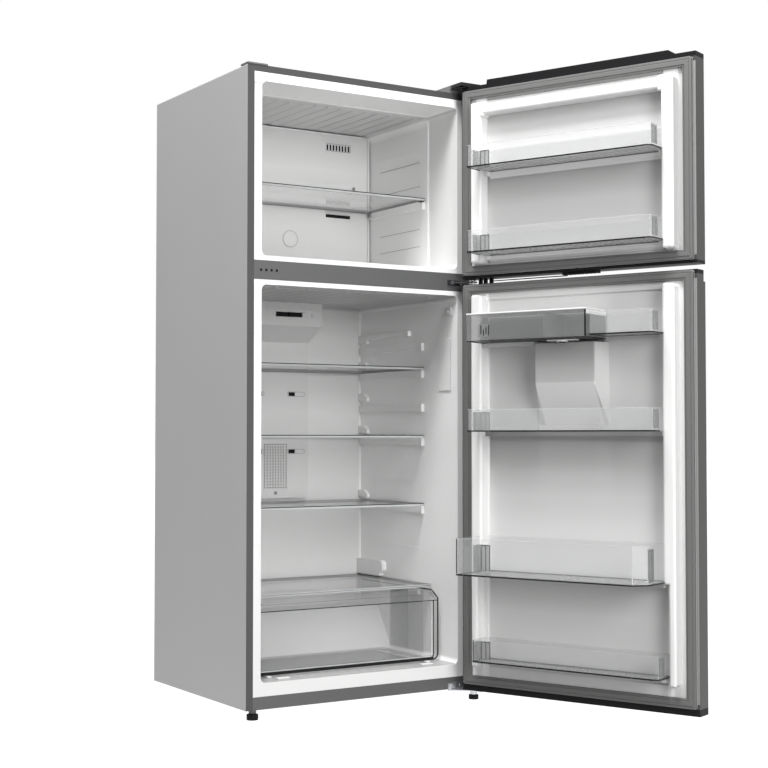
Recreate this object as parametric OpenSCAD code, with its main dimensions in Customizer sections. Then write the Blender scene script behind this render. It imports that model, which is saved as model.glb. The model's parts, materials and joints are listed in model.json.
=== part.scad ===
// Top freezer refrigerator: a steel case with a freezer above a fridge compartment,
// two doors hung on the right, glass shelves, a crisper drawer, lift-off door bins
// and a water tank that feeds a dispenser in the front of the lower door.
//
// Millimetres. +Z is up, -Y is the front, the floor is Z = 0. Inside the modules, X = 0 is
// the middle of the case and Y = 0 is the plane of its front rim; resting() moves that
// frame so that the origin is under the middle of the object with both doors open.

/* [Case] */
// Width of the case
case_w = 700; // [680:1:760]
// Depth of the case, without the doors
case_d = 575; // [560:1:640]
// Height of the case, without the feet
case_h = 1661; // [1620:1:1760]
// Height of the feet
foot_h = 25; // [22:1:35]
// Thickness of the sheet steel
sheet = 1; // [0.8:0.1:1.4]
// Radius of the bends along the top of the case
bend_r = 4; // [2:0.5:6]
// Width of the steel rim down each side of the front
rim_side = 20; // [16:1:24]
// Height of the steel rim across the top of the front
rim_top = 18; // [14:1:22]
// Height of the steel rail across the bottom of the front
rim_bottom = 33; // [26:1:40]

/* [Compartments] */
// Insulated wall at each side, from the case to the opening
wall_side = 42; // [38:1:50]
// Insulated wall at the back
wall_back = 58; // [45:1:65]
// Insulated wall above the freezer opening
wall_top = 41; // [34:1:50]
// Insulated wall below the fridge opening
wall_bottom = 67; // [60:1:80]
// Height of the fridge opening
fridge_h = 1024; // [1000:1:1040]
// Height of the partition between the two openings
partition_h = 75; // [70:1:84]
// Height of the steel rail on the partition
mullion_h = 50; // [46:1:56]
// Thickness of the plastic liners
liner_t = 2; // [1.5:0.1:3]
// Corner radius of the openings
opening_r = 15; // [8:1:24]
// Depth of the smooth collar at the front of the freezer liner
collar_d = 140; // [120:1:150]
// Corner radius of the freezer behind the collar
rear_r = 24; // [12:1:28]
// Step from the collar down to the ribbed freezer ceiling
collar_step = 5; // [3:0.5:8]

/* [Machine compartment] */
// Depth of the machine compartment
machine_d = 203; // [194:1:209]
// Height of the machine compartment's roof above the case bottom
machine_h = 165; // [160:1:175]
// Height at which its front wall starts to lean back
machine_lean_h = 68; // [60:1:76]
// How far the front wall leans back at the roof
machine_lean = 62; // [50:1:72]
// Insulation over the machine compartment
machine_foam = 26; // [22:1:32]

/* [Shelves] */
// Distance from the case front to the fridge shelves
shelf_front_y = 160; // [156:1:175]
// Distance from the case front to the freezer shelf
freezer_shelf_y = 146; // [142:1:165]
// Thickness of the glass
glass_t = 4; // [3.2:0.2:5]
// Height of the trim along a shelf's edges
trim_h = 8; // [7:0.5:10]
// Width of the trim along a shelf's edges
trim_w = 6; // [5:0.5:10]
// Side clearance of the shelves in the liner
shelf_play = 4; // [3:0.5:6]
// Height of the crisper cover above the fridge floor
cover_h = 211; // [206:1:222]
// Distance from the case front to the crisper cover
cover_front_y = 126; // [120:1:140]
// Height of the lowest shelf above the crisper cover
first_shelf = 229; // [215:1:240]
// Spacing of the fridge shelves
shelf_pitch = 195.5; // [188:0.5:200]
// Height of the freezer shelf above the freezer floor
freezer_shelf_h = 219; // [205:1:230]
// Width that the shelf rails stand out from the liner
rail_out = 10; // [8:0.5:13]
// Height of the shelf rails
rail_h = 20; // [16:1:24]

/* [Crisper drawer] */
// Clearance between the drawer and the liner at each side
drawer_play = 18; // [16:1:28]
// Distance from the case front to the drawer
drawer_front_y = 78; // [76:1:90]
// Thickness of the drawer's walls
drawer_t = 3; // [2.5:0.1:4]
// Height of the grip band across the top of the drawer's front
grip_h = 40; // [34:1:46]

/* [Doors] */
// Thickness of the doors
door_t = 55; // [50:1:60]
// Gap between the case front and the doors' inner faces
door_gap = 12; // [11:0.5:14]
// Angle at which both doors stand open
door_angle = 111.8; // [100:0.1:120]
// Distance of the hinge axis from the case side
hinge_in = 17.5; // [16:0.5:20]
// Distance of the hinge axis in front of the case
hinge_out = 40; // [38:0.5:43]
// Radius of the hinge pins
pin_r = 5; // [4:0.25:6]
// Radial clearance of the hinge pins in the doors
pin_play = 0.05; // [0.02:0.01:0.1]
// Radius of the doors' front edges
door_r = 6; // [3:0.5:10]
// Width of the door gaskets
gasket_w = 25; // [20:0.5:28]
// Distance of the gaskets from the doors' outer edges
gasket_in = 8; // [7:0.5:11]
// Height above the case bottom where the lower door starts
door_foot = 2; // [1.5:0.5:5]
// Clear gap between the two doors
doors_apart = 16; // [14:1:18]
// Height of the freezer door's lower cap
cap_h = 8; // [6:0.5:11]
// Height of the fridge door's upper cap
upper_cap_h = 11; // [9:0.5:14]
// Height of the fridge door's lower cap
foot_cap_h = 18; // [16:1:22]
// Height of the freezer door's top cap
top_cap_h = 13; // [11:1:16]
// Height of the raised bar on the top cap
cap_bar_h = 14; // [8:1:18]
// Height of the finger pocket along the top of the fridge door
pocket_h = 29; // [22:1:36]
// Depth of the finger pocket
pocket_d = 10; // [6:1:14]

/* [Door liners] */
// How far the raised bars of a door liner reach into the compartment
dyke_out = 33; // [26:1:35]
// Width of the raised bars
dyke_w = 34; // [28:1:38]
// Width of the lower part of the fridge door's raised bars
dyke_foot_w = 20; // [16:1:24]
// Radius of the raised bars' ends
dyke_r = 12; // [8:1:16]
// Radius along the raised bars' edges
dyke_edge = 7; // [4:0.5:9]
// Clearance between the raised bars and the opening
dyke_play = 6; // [5:0.5:8]
// Depth of the pan between the raised bars
pan_d = 5; // [3:0.5:8]
// Thickness of a door liner
door_liner_t = 1.5; // [1.2:0.1:2.5]

/* [Door bins] */
// Reach of an ordinary bin from the door's inner face
bin_reach = 98; // [90:1:105]
// Thickness of the bins' walls
bin_t = 2.5; // [2:0.1:3.5]
// Radius of the bins' front corners
bin_r = 22; // [14:1:28]
// Height of the shallow bins
bin_h = 60; // [52:1:66]
// Height of the deep bottle bin
deep_bin_h = 98; // [88:1:104]
// Clearance of a bin from the liner
bin_play = 2; // [1.5:0.25:3]
// Clearance between the deep bin and the shelves
bin_to_shelf = 17; // [12:1:24]
// How far a bin lifts off its lugs
lug_h = 12; // [9:1:15]

/* [Water dispenser] */
// Width of the water tank
tank_w = 360; // [330:1:365]
// Height of the water tank without its lid
tank_h = 72; // [64:1:76]
// Reach of the tank from the door's inner face
tank_reach = 112; // [104:1:118]
// Thickness of the tank lid
lid_t = 4; // [3:0.5:5]
// Width of the dispenser recess
recess_w = 110; // [96:1:114]
// Height of the dispenser recess
recess_h = 178; // [160:1:190]
// Length of the dispenser lever
lever_l = 60; // [50:1:64]

/* [Running gear] */
// Radius of the left levelling foot
foot_r = 15; // [12:0.5:18]
// Radius of the rear rollers
roller_r = 12; // [10:0.5:12.5]
// Width of the rear rollers
roller_w = 20; // [16:1:26]
// Radius of the evaporator fan
fan_r = 52; // [44:1:56]
// Number of fan blades
fan_blades = 5; // [3:1:7]

/* [Hidden] */
$fn = 48;

// Clearance between pieces that only rest on each other, and a cut's overshoot
seat = 0.3;
cut = 1;
half_w = case_w / 2;
case_z = foot_h;
case_top = case_z + case_h;

// Openings and the cavities behind them
open_x = half_w - wall_side;
fridge_z = case_z + wall_bottom;
fridge_top = fridge_z + fridge_h;
freezer_z = fridge_top + partition_h;
freezer_top = case_top - wall_top;
freezer_h = freezer_top - freezer_z;
mullion_z = fridge_top + (partition_h - mullion_h) / 2;
cavity_y = case_d - wall_back;
back_y = case_d - sheet;

// The hump in the fridge floor follows the machine compartment's roof
machine_y = case_d - machine_d;
machine_path = [
    [machine_y, case_z], [machine_y, case_z + machine_lean_h],
    [machine_y + machine_lean, case_z + machine_h], [back_y, case_z + machine_h]
];

// Depth of the steel channel on the partition, and the hinge bolts in it
mullion_leg = 14;
bolt_r = 3;
bolt_x = [half_w - 62, half_w - 34];

// Shelves
cover_z = fridge_z + cover_h;
shelf_z = [for (i = [0:2]) cover_z + first_shelf + i * shelf_pitch];
freezer_shelf_z = freezer_z + freezer_shelf_h;
shelf_x = open_x - shelf_play;
spare_rails = [shelf_z[1] + shelf_pitch / 2, shelf_z[2] + shelf_pitch * 0.4];
rail_z = concat(shelf_z, spare_rails);
block_y = cavity_y - 50;
cover_wall_y = cavity_y - 62;

// Doors in their closed places
hinge_x = half_w - hinge_in;
hinge_y = -hinge_out;
door_in_y = -door_gap;
door_out_y = door_in_y - door_t;
fridge_door_z = case_z + door_foot;
split_z = mullion_z + mullion_h / 2;
fridge_door_top = split_z - doors_apart / 2 - 2;
freezer_door_z = fridge_door_top + doors_apart;
freezer_door_top = case_top - 4;
gasket_x = half_w - gasket_in;
gasket_top_y = -1.5;
dyke_x = open_x - dyke_play;
dyke_y = door_in_y + dyke_out;
pan_x = dyke_x - dyke_w;
pan_y = door_in_y - pan_d;
hem_y = door_in_y - door_liner_t;

// Gasket frames: the freezer's, then the fridge's, each [bottom, top]
freezer_seal = [freezer_door_z + cap_h, freezer_door_top - 1];
fridge_seal = [fridge_door_z + foot_cap_h, fridge_door_top - 2];
// Raised bars of the door liners, each [bottom, top]
freezer_dyke = [freezer_z + dyke_play, freezer_top - dyke_play];
fridge_dyke = [fridge_z + dyke_play, fridge_top - dyke_play];

// Bins, each [bottom, height, front], and their distances from the openings, cover and recess
bin_over_sill = 27;
bottle_bin_rise = 53;
top_bin_drop = 134;
can_bin_drop = 42;
bin_x = pan_x + 5;
bin_front_y = door_in_y + bin_reach;
deep_front_y = shelf_front_y - bin_to_shelf;
jar_front_y = drawer_front_y - 16;
upper_bin = [freezer_z + 0.5683 * freezer_h, bin_h, bin_front_y];
lower_bin = [freezer_z + bin_over_sill, bin_h, bin_front_y];
jar_bin_box = [fridge_z + bin_over_sill - 1, bin_h, jar_front_y];
bottle_bin_box = [cover_z + bottle_bin_rise, deep_bin_h, deep_front_y];
top_bin_box = [fridge_top - top_bin_drop, bin_h, bin_front_y];

// Water dispenser
tank_z = top_bin_box[0] - 6;
tank_right = pan_x - bin_play;
tank_left = tank_right - tank_w;
tank_front_y = door_in_y + tank_reach;
recess_top = tank_z - 20;
recess_z = recess_top - recess_h;
can_bin_box = [recess_z - can_bin_drop, bin_h, bin_front_y];
recess_back_y = 2;
recess_foot_y = -26;
recess_slope_h = 75;
bulge_y = 40;
bulge_x = 101;
bulge_draft = 15;
bulge_slope_h = 112;
bulge_z = recess_z - 25;
valve_y = -6;
valve_r = 7;
lever_z = recess_top - 14;
lever_y = -30;
paddle_r = 25;

// The origin under the middle of the object with its doors open
function swung(p) = [
    hinge_x + (p.x - hinge_x) * cos(door_angle) - (p.y - hinge_y) * sin(door_angle),
    hinge_y + (p.x - hinge_x) * sin(door_angle) + (p.y - hinge_y) * cos(door_angle)
];
rest_x = (swung([-half_w, door_out_y]).x - half_w) / 2;
rest_y = (swung([-half_w, hem_y]).y + case_d) / 2;

// ---------------------------------------------------------------- shared shapes

module resting() {
    translate([-rest_x, -rest_y, 0]) children();
}

// A door part is drawn closed and stands open at rest
module on_door() {
    resting() translate([hinge_x, hinge_y, 0]) rotate([0, 0, door_angle])
        translate([-hinge_x, -hinge_y, 0]) children();
}

// A box from corner to corner
module block(low, high) {
    translate(low) cube(high - low);
}

// A rectangle with round corners, from [x0, z0] to [x1, z1]
module rounded(x0, z0, x1, z1, r) {
    translate([x0 + r, z0]) square([x1 - x0 - 2 * r, z1 - z0]);
    translate([x0, z0 + r]) square([x1 - x0, z1 - z0 - 2 * r]);
    for (x = [x0 + r, x1 - r], z = [z0 + r, z1 - r]) translate([x, z]) circle(r);
}

// Stands a drawing of X and Z up between two planes of Y
module upright(y0, y1) {
    translate([0, y1, 0]) rotate([90, 0, 0]) linear_extrude(y1 - y0) children();
}

// Runs a drawing of Y and Z across from x0 to x1
module across(x0, x1) {
    translate([x0, 0, 0]) rotate([90, 0, 90]) linear_extrude(x1 - x0) children();
}

// A standing rounded slab
module slab(x0, z0, x1, z1, r, y0, y1) {
    upright(y0, y1) rounded(x0, z0, x1, z1, r);
}

// A path moved sideways by d, to its left, with sharp corners
function unit(v) = v / norm(v);
function left_of(a, b) = let (u = unit(b - a)) [-u.y, u.x];
function shifted(p, d) = [
    for (i = [0:len(p) - 1])
        let (
            before = left_of(p[max(i - 1, 0)], p[max(i, 1)]),
            after = left_of(p[min(i, len(p) - 2)], p[min(i + 1, len(p) - 1)])
        )
        p[i] + d * (before + after) / (1 + before * after)
];
function reversed(p) = [for (i = [len(p) - 1:-1:0]) p[i]];

// A bent sheet of thickness t to the left of a path
module bent(path, t) {
    polygon(concat(path, reversed(shifted(path, t))));
}

module both_sides() {
    children();
    mirror([1, 0, 0]) children();
}

// ---------------------------------------------------------------- case and insulation

// The case from the front, inset by g, with its two top bends
module case_outline(g, z0) {
    x = half_w - g;
    z1 = case_top - g;
    r = bend_r - g;
    translate([-x, z0]) square([2 * x, z1 - r - z0]);
    translate([-x + r, z0]) square([2 * (x - r), z1 - z0]);
    for (side = [-1, 1]) translate([side * (x - r), z1 - r]) circle(r);
}

// A U-shaped wrap of painted steel, with its rim folded in round the front
module case_shell() color("#9a9b9d") resting() difference() {
    upright(0, case_d) case_outline(0, case_z);
    upright(sheet, case_d + cut) case_outline(sheet, case_z - cut);
    block([-half_w + rim_side, -cut, case_z - cut], [half_w - rim_side, sheet + cut, case_top - rim_top]);
}

module back_panel() color("#8f9092") resting()
    upright(back_y, case_d) case_outline(sheet, case_z + machine_h);

// Bottom rail, floor, and the sheet that bends up over the machine compartment
module base_pan() color("#707173") resting() {
    across(-half_w + sheet, half_w - sheet) union() {
        bent(machine_path, sheet);
        translate([sheet, case_z]) square([back_y - 2 * sheet, sheet]);
    }
    across(-half_w + rim_side, half_w - rim_side)
        translate([0, case_z]) square([sheet, rim_bottom]);
    translate(left_foot_at) foot_nut();
}

// The hollow of the freezer, grown by g all round but open at the front
module freezer_hollow(g) {
    slab(-open_x - g, freezer_z - g, open_x + g, freezer_top + g, opening_r + g,
        -cut, collar_d + g);
    slab(-open_x + collar_step - g, freezer_z - g, open_x - collar_step + g,
        freezer_top - collar_step + g, rear_r + g, 0, cavity_y + g);
}

// The hollow of the fridge, less the hump over the machine compartment
module fridge_hollow(g) difference() {
    slab(-open_x - g, fridge_z - g, open_x + g, fridge_top + g, opening_r + g,
        -cut, cavity_y + g);
    across(-open_x - g - cut, open_x + g + cut) hump(machine_foam - g);
}

// The hump's cross-section, out by t from the machine compartment
module hump(t) {
    path = shifted(machine_path, t);
    polygon(concat(
        [[path[0].x, case_z]], [path[1], path[2], [case_d, path[3].y]], [[case_d, case_z]]));
}

// The front rim of a liner, between the steel and the opening
module liner_rim(z0, z1) {
    upright(0, liner_t) difference() {
        translate([-half_w + rim_side, z0]) square([2 * (half_w - rim_side), z1 - z0]);
        children();
    }
}

// Shelf rail: a ledge with a taller nose, on the left wall
module rail(x, z, y0, y1, h) {
    block([-x, y0, z - h], [-x + rail_out, y1, z]);
    translate([-x, y0, z - h - 3]) cube([rail_out, 16, h + 3]);
}

// Block at the back of the liner that stops a shelf from tipping
module tip_block(x, z) across(-x, -x + rail_out) polygon([
    [cavity_y, z], [block_y + 16, z], [block_y + 8, z - 1], [block_y, z - 1], [block_y, z + 9],
    [block_y + 18, z + 22], [cavity_y, z + 22]
]);

// A shallow tooth that runs front to back on a ceiling
module ceiling_step(x, w, z, y0, y1) upright(y0, y1)
    polygon([[x - w / 2, z + 0.5], [x - w / 2, z], [x + w / 2, z - 3.5], [x + w / 2, z + 0.5]]);

module freezer_liner() color("#f2f2f0") resting() {
    rear_x = open_x - collar_step;
    difference() {
        union() {
            difference() {
                freezer_hollow(liner_t);
                block([-half_w, -2 * cut, freezer_z - 2 * wall_top],
                    [half_w, 0, freezer_top + wall_top]);
            }
            liner_rim(mullion_z + mullion_h, case_top - rim_top)
                rounded(-open_x, freezer_z, open_x, freezer_top, opening_r);
        }
        freezer_hollow(0);
    }
    // Steps along the ceiling, and ribs on the side walls
    for (i = [-6:6]) ceiling_step(i * 0.147 * (rear_x - rear_r), 0.129 * (rear_x - rear_r), freezer_top - collar_step, collar_d + liner_t + 6, cover_wall_y - 8);
    both_sides() {
        for (z = [0.187, 0.297, 0.573, 0.727, 0.804] * freezer_h)
            block([-rear_x, collar_d + 32, freezer_z + z - 2], [-rear_x + 1.5, cover_wall_y - 53, freezer_z + z + 2]);
        rail(rear_x, freezer_shelf_z - trim_h - seat, freezer_shelf_y + 8, cover_wall_y - 12, rail_h);
    }
}

module fridge_liner() color("#f2f2f0") resting() {
    rim_end = case_z + rim_bottom;
    difference() {
        union() {
            difference() {
                fridge_hollow(liner_t);
                block([-half_w, -2 * cut, case_z], [half_w, 0, fridge_top + wall_top]);
            }
            liner_rim(rim_end, mullion_z)
                rounded(-open_x, fridge_z, open_x, fridge_top, opening_r);
        }
        fridge_hollow(0);
    }
    for (i = [-6:6]) ceiling_step(i * open_x / 7, open_x / 8, fridge_top, 48, cavity_y - 112);
    both_sides() {
        for (z = rail_z) {
            rail(open_x, z - trim_h - seat, shelf_front_y + 8, cavity_y - 8, rail_h);
            tip_block(open_x, z + 6);
        }
        // Guard above the highest rails
        block([-open_x, 238, rail_z[4] + 16], [-open_x + rail_out, cavity_y, rail_z[4] + 30]);
        // Ledge that carries the crisper cover, and the block that holds the cover down
        rail(open_x, cover_z - trim_h - seat, cover_front_y + 60, cavity_y - 8, rail_h + 6);
        across(-open_x, -open_x + rail_out + 5) polygon([
            [cavity_y, cover_z + 3], [cavity_y - 130, cover_z + 3], [cavity_y - 130, cover_z + 14],
            [cavity_y - 137, cover_z + 14], [cavity_y - 145, cover_z + 22],
            [cavity_y - 145, cover_z + 40], [cavity_y - 137, cover_z + 48], [cavity_y, cover_z + 48]
        ]);
        // Faint lines where the wall is stiffened
        for (z = [shelf_z[0] - 130, shelf_z[0] + 65])
            block([-open_x, shelf_front_y + 38, z - 1.5], [-open_x + 1, cavity_y - 45, z + 1.5]);
    }
    // Stops on the floor in front of the drawer, and two ribs between them
    for (x = [-0.73, 0.73] * open_x) block([x - 18, 26, fridge_z], [x + 18, 42, fridge_z + 4]);
    for (y = [30, 44]) block([-0.55 * open_x, y, fridge_z], [0.55 * open_x, y + 3, fridge_z + 1.5]);
    // Runners under the drawer
    for (side = [-1, 1]) block([side * (drawer_w / 2 - 40) - 6, 60, fridge_z],
        [side * (drawer_w / 2 - 40) + 6, step_y - 4, drawer_z - seat]);
}

// Rigid foam that fills the walls between the case and the liners
module foam_insulation() color("#d9c98c") resting() difference() {
    upright(sheet, back_y) case_outline(sheet, case_z + sheet);
    freezer_hollow(liner_t);
    fridge_hollow(liner_t);
    across(-half_w, half_w) polygon(concat(
        [[machine_y - sheet, case_z - cut]], shifted(machine_path, sheet),
        [[case_d, case_z + machine_h + sheet], [case_d, case_z - cut]]));
    block([-half_w + rim_side - cut, 0, case_z], [half_w - rim_side + cut, liner_t, case_top - rim_top + cut]);
    across(-half_w + rim_side, half_w - rim_side)
        translate([0, mullion_z]) square([mullion_leg, mullion_h]);
    hinge_bolt_holes();
}

// ---------------------------------------------------------------- rail and hinges

// Steel channel across the partition, which the middle hinge is bolted to
module mullion_rail() color("#6e6f71") resting() difference() {
    across(-half_w + rim_side, half_w - rim_side) difference() {
        translate([0, mullion_z]) square([mullion_leg, mullion_h]);
        translate([1.5, mullion_z + 1.5]) square([mullion_leg, mullion_h - 3]);
    }
    hinge_bolt_holes();
}

hinge_arm_z = (fridge_door_top + freezer_door_z) / 2;
pin_l = 17;

module hinge_bolt_holes() {
    for (x = bolt_x) translate([x, -cut, hinge_arm_z])
        rotate([-90, 0, 0]) cylinder(r = bolt_r + seat, h = mullion_leg + 9);
}

// A hinge arm: a plate round the pin that widens towards the case
module hinge_arm(z, t, x0, y1) {
    translate([0, 0, z]) linear_extrude(t) union() {
        translate([hinge_x, hinge_y]) circle(13);
        polygon([[hinge_x - 13, hinge_y], [hinge_x + 13, hinge_y], [hinge_x + 13, y1], [x0, y1]]);
    }
}

module middle_hinge() color("#8a8b8d") resting() {
    hinge_arm(hinge_arm_z - 2, 4, half_w - 74, 0);
    block([half_w - 76, -3, hinge_arm_z - 7], [half_w - 5, 0, hinge_arm_z + 7]);
    translate([hinge_x, hinge_y, hinge_arm_z - 2 - pin_l]) cylinder(r = pin_r, h = 2 * pin_l + 4);
    for (x = bolt_x) translate([x, -6, hinge_arm_z]) rotate([-90, 0, 0]) {
        cylinder(r = 6, h = 4);
        cylinder(r = bolt_r, h = 6 + mullion_leg + 4);
    }
}

top_arm_z = case_top + top_cap_h - 1.5;

module top_hinge() color("#8a8b8d") resting() {
    hinge_arm(top_arm_z, 3, half_w - 62, 6);
    block([half_w - 62, 3, case_top], [half_w - 4, 6, top_arm_z + 3]);
    block([half_w - 62, 3, case_top], [half_w - 4, 62, case_top + 3]);
    translate([hinge_x, hinge_y, top_arm_z - pin_l]) cylinder(r = pin_r, h = pin_l + 2);
    for (y = [24, 48]) translate([half_w - 33, y, case_top + 2]) cylinder(r = 6, h = 4);
}

// Cover over the top hinge, and the cap on the other front corner of the case
module hinge_covers() color("#2b2b2d") resting() {
    top = top_arm_z + 8;
    difference() {
        union() {
            block([half_w - 66, 0, case_top], [half_w + 1, 68, top]);
            block([half_w - 66, hinge_y - 15, top_arm_z - 1.5], [half_w + 1, 1, top]);
        }
        block([half_w - 64, 2, case_top - cut], [half_w - 1, 66, top - 2]);
        block([half_w - 64, hinge_y - 14, top_arm_z - 2 * cut], [half_w - 1, 3, top - 2]);
    }
    block([-half_w, -1.5, case_top], [-half_w + 58, 40, case_top + 4]);
}

module bottom_hinge() color("#8a8b8d") resting() {
    z = case_z - 3.6;
    difference() {
        union() {
            hinge_arm(z, 3, half_w - 74, 0);
            block([half_w - 76, -3, z], [half_w - 3, 0, case_z + 17]);
            translate([hinge_x, hinge_y, z - 8]) cylinder(r = 9, h = 9);
        }
        translate([hinge_x, hinge_y, z - 8 - cut]) cylinder(r = stem_r + pin_play, h = 9);
    }
    translate([hinge_x, hinge_y, z + 2]) cylinder(r = pin_r, h = pin_l + 3);
    for (x = bolt_x) translate([x, -5, case_z + 9]) rotate([-90, 0, 0]) cylinder(r = 5, h = 3);
    // Plate that the door's stop meets when it is wide open
    block([half_w - 15, hinge_y - 30, z], [half_w - 7, hinge_y - 8, z + 3]);
}

// ---------------------------------------------------------------- feet and rollers

stem_r = 5.5;
left_foot_at = [-half_w + 25, 12];

module foot(h, r) {
    difference() {
        cylinder(r = r, h = h);
        for (a = [0:45:315]) rotate(a) translate([r + 1.5, 0, 4]) cylinder(r = 3, h = h, $fn = 12);
    }
    cylinder(r = stem_r, h = case_z - 4.4);
}

module left_foot() color("#2b2b2d") resting() translate(left_foot_at) foot(14, foot_r);

module right_foot() color("#2b2b2d") resting() translate([hinge_x, hinge_y]) foot(12, foot_r - 1.5);

// Nut under the case for the left foot
module foot_nut() difference() {
    translate([0, 0, case_z - 8]) cylinder(r = 10, h = 8);
    translate([0, 0, case_z - 8 - cut]) cylinder(r = stem_r + pin_play, h = 7.5);
}

roller_x = [-half_w + 80, half_w - 80];
roller_y = machine_y + 20;
axle_r = 3;

module roller(x) resting() translate([x, roller_y, roller_r]) rotate([0, 90, 0]) difference() {
    union() {
        translate([0, 0, -roller_w / 2]) cylinder(r = roller_r - 1.5, h = roller_w);
        translate([0, 0, -roller_w / 2 + 1.5]) cylinder(r = roller_r, h = roller_w - 3);
    }
    translate([0, 0, -roller_w]) cylinder(r = axle_r + pin_play, h = 2 * roller_w);
}

module left_roller() color("#2b2b2d") roller(roller_x[0]);
module right_roller() color("#2b2b2d") roller(roller_x[1]);

module roller_brackets() color("#7b7c7e") resting() for (x = roller_x) {
    for (side = [-1, 1]) translate([x + side * (roller_w / 2 + 2) - 1.5, 0, 0])
        across(0, 3) union() {
            translate([roller_y, roller_r]) circle(8);
            translate([roller_y - 8, roller_r]) square([16, case_z - roller_r]);
        }
    for (side = [-1, 1]) translate([x + side * (roller_w / 2 + 7.5) - 7, roller_y - 16, case_z - 2])
        cube([14, 32, 2]);
    translate([x - roller_w / 2 - 5, roller_y, roller_r]) rotate([0, 90, 0])
        cylinder(r = axle_r, h = roller_w + 10);
}

// ---------------------------------------------------------------- machine compartment

compressor_at = [130, case_d - 91];

module compressor() color("#202022") resting() translate([compressor_at.x, compressor_at.y, 0]) {
    z = case_z + sheet + 14;
    translate([0, 0, z]) rotate_extrude() polygon([
        [0, 0], [52, 0], [62, 14], [64, 50], [64, 66], [56, 92], [38, 108], [0, 114]
    ]);
    translate([-78, -22, z + 28]) cube([20, 44, 44]);
    for (y = [-30, 30]) translate([30, y, z + 60]) rotate([0, 90, 0]) cylinder(r = 4, h = 60);
}

module compressor_mounts() color("#6e6f71") resting() {
    z = case_z + sheet;
    for (x = [-78, 78], y = [-50, 50])
        translate([compressor_at.x + x, compressor_at.y + y, z]) cylinder(r = 10, h = 12);
    for (y = [-50, 50]) translate([compressor_at.x - 92, compressor_at.y + y - 12, z + 12]) cube([184, 24, 2]);
    for (x = [-40, 36]) translate([compressor_at.x + x, compressor_at.y - 62, z + 12]) cube([4, 124, 2]);
}

module drain_tray() color("#2b2b2d") resting() difference() {
    y0 = machine_y + 30;
    y1 = case_d - 23;
    block([-230, y0, case_z + sheet], [-40, y1, case_z + 42]);
    block([-227, y0 + 3, case_z + sheet + 3], [-43, y1 - 3, case_z + 43]);
}

// Slotted cover behind the machine compartment, with the supply inlet at one side
module rear_cover() color("#4c4d4f") resting() {
    difference() {
        block([-half_w + sheet, back_y, case_z + sheet], [half_w - sheet, back_y + 1.5, case_z + machine_h]);
        for (i = [0:8], z = [22:26:132])
            block([-300 + i * 62, back_y - cut, case_z + z], [-256 + i * 62, case_d + cut, case_z + z + 8]);
    }
    block([half_w - 66, back_y - 16, case_z + 96], [half_w - 30, back_y, case_z + 128]);
}

// ---------------------------------------------------------------- freezer fittings

module evaporator_cover() color("#eeeeec") resting() {
    x = open_x - collar_step - 3;
    z0 = freezer_z + 3;
    z1 = freezer_top - collar_step - 4;
    difference() {
        slab(-x, z0, x, z1, rear_r - 3, cover_wall_y, cavity_y - seat);
        slab(-x + 3, z0 + 3, x - 3, z1 - 3, rear_r - 6, cover_wall_y + 3, cavity_y + cut);
        // Shallow panel inside a raised rim
        slab(-x + 9, z0 - 9, x - 9, z1 - 9, 12, cover_wall_y - cut, cover_wall_y + 1.5);
        both_sides() {
            for (i = [0:7]) block([150 + i * 10.5, cover_wall_y - cut, z1 - 51],
                [156 + i * 10.5, cover_wall_y + 4, z1 - 34]);
            block([147, cover_wall_y - cut, freezer_z + 190], [233, cover_wall_y + 4, freezer_z + 200]);
        }
        // Air returns along the foot
        for (i = [-7:7]) block([i * 36 - 12, cover_wall_y - cut, z0 + 18],
            [i * 36 + 12, cover_wall_y + 4, z0 + 24]);
    }
    // Hoods round the upper outlets and over the lower ones
    both_sides() {
        upright(cover_wall_y - 1.5, cover_wall_y + 2) difference() {
            rounded(144, z1 - 57, 235.5, z1 - 28, 5);
            rounded(147, z1 - 54, 232.5, z1 - 31, 3);
        }
        across(144, 236) polygon([
            [cover_wall_y + 2, freezer_z + 202], [cover_wall_y - 4, freezer_z + 202],
            [cover_wall_y + 2, freezer_z + 212]
        ]);
    }
    translate([25, cover_wall_y + 1.5, freezer_z + 116]) rotate([90, 0, 0]) cylinder(r = 24, h = 2.2);
    for (x = [-244, 244]) translate([x, cover_wall_y + 1.5, z1 - 162]) rotate([90, 0, 0]) cylinder(r = 6, h = 2);
}

fan_z = freezer_z + 0.7 * freezer_h;
coil_x = open_x - 46;
coil_h = 0.4 * freezer_h;
motor_y = cavity_y - seat - 18;

module evaporator_coil() color("#b9babb") resting() {
    z0 = freezer_z + 38;
    for (i = [-10:10]) block([i * coil_x / 11 - 0.5, cover_wall_y + 10, z0 + 3],
        [i * coil_x / 11 + 0.5, cavity_y - 8, z0 + coil_h - 6]);
    for (y = [cover_wall_y + 20, cavity_y - 18], i = [0:4])
        translate([-coil_x, y, z0 + 22 + i * (coil_h - 40) / 4]) rotate([0, 90, 0])
            cylinder(r = 4, h = 2 * coil_x, $fn = 16);
    for (x = [-coil_x, coil_x - 4]) block([x, cover_wall_y + 8, z0], [x + 4, cavity_y, z0 + coil_h]);
}

module fan_motor() color("#2f3032") resting() {
    translate([0, motor_y, fan_z]) rotate([-90, 0, 0]) cylinder(r = 24, h = 18);
    translate([0, motor_y - 22, fan_z]) rotate([-90, 0, 0]) cylinder(r = 3, h = 23);
    for (a = [30:120:270]) translate([0, 0, fan_z]) rotate([0, a, 0])
        block([0, motor_y + 14, -4], [fan_r + 8, motor_y + 18, 4]);
}

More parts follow.
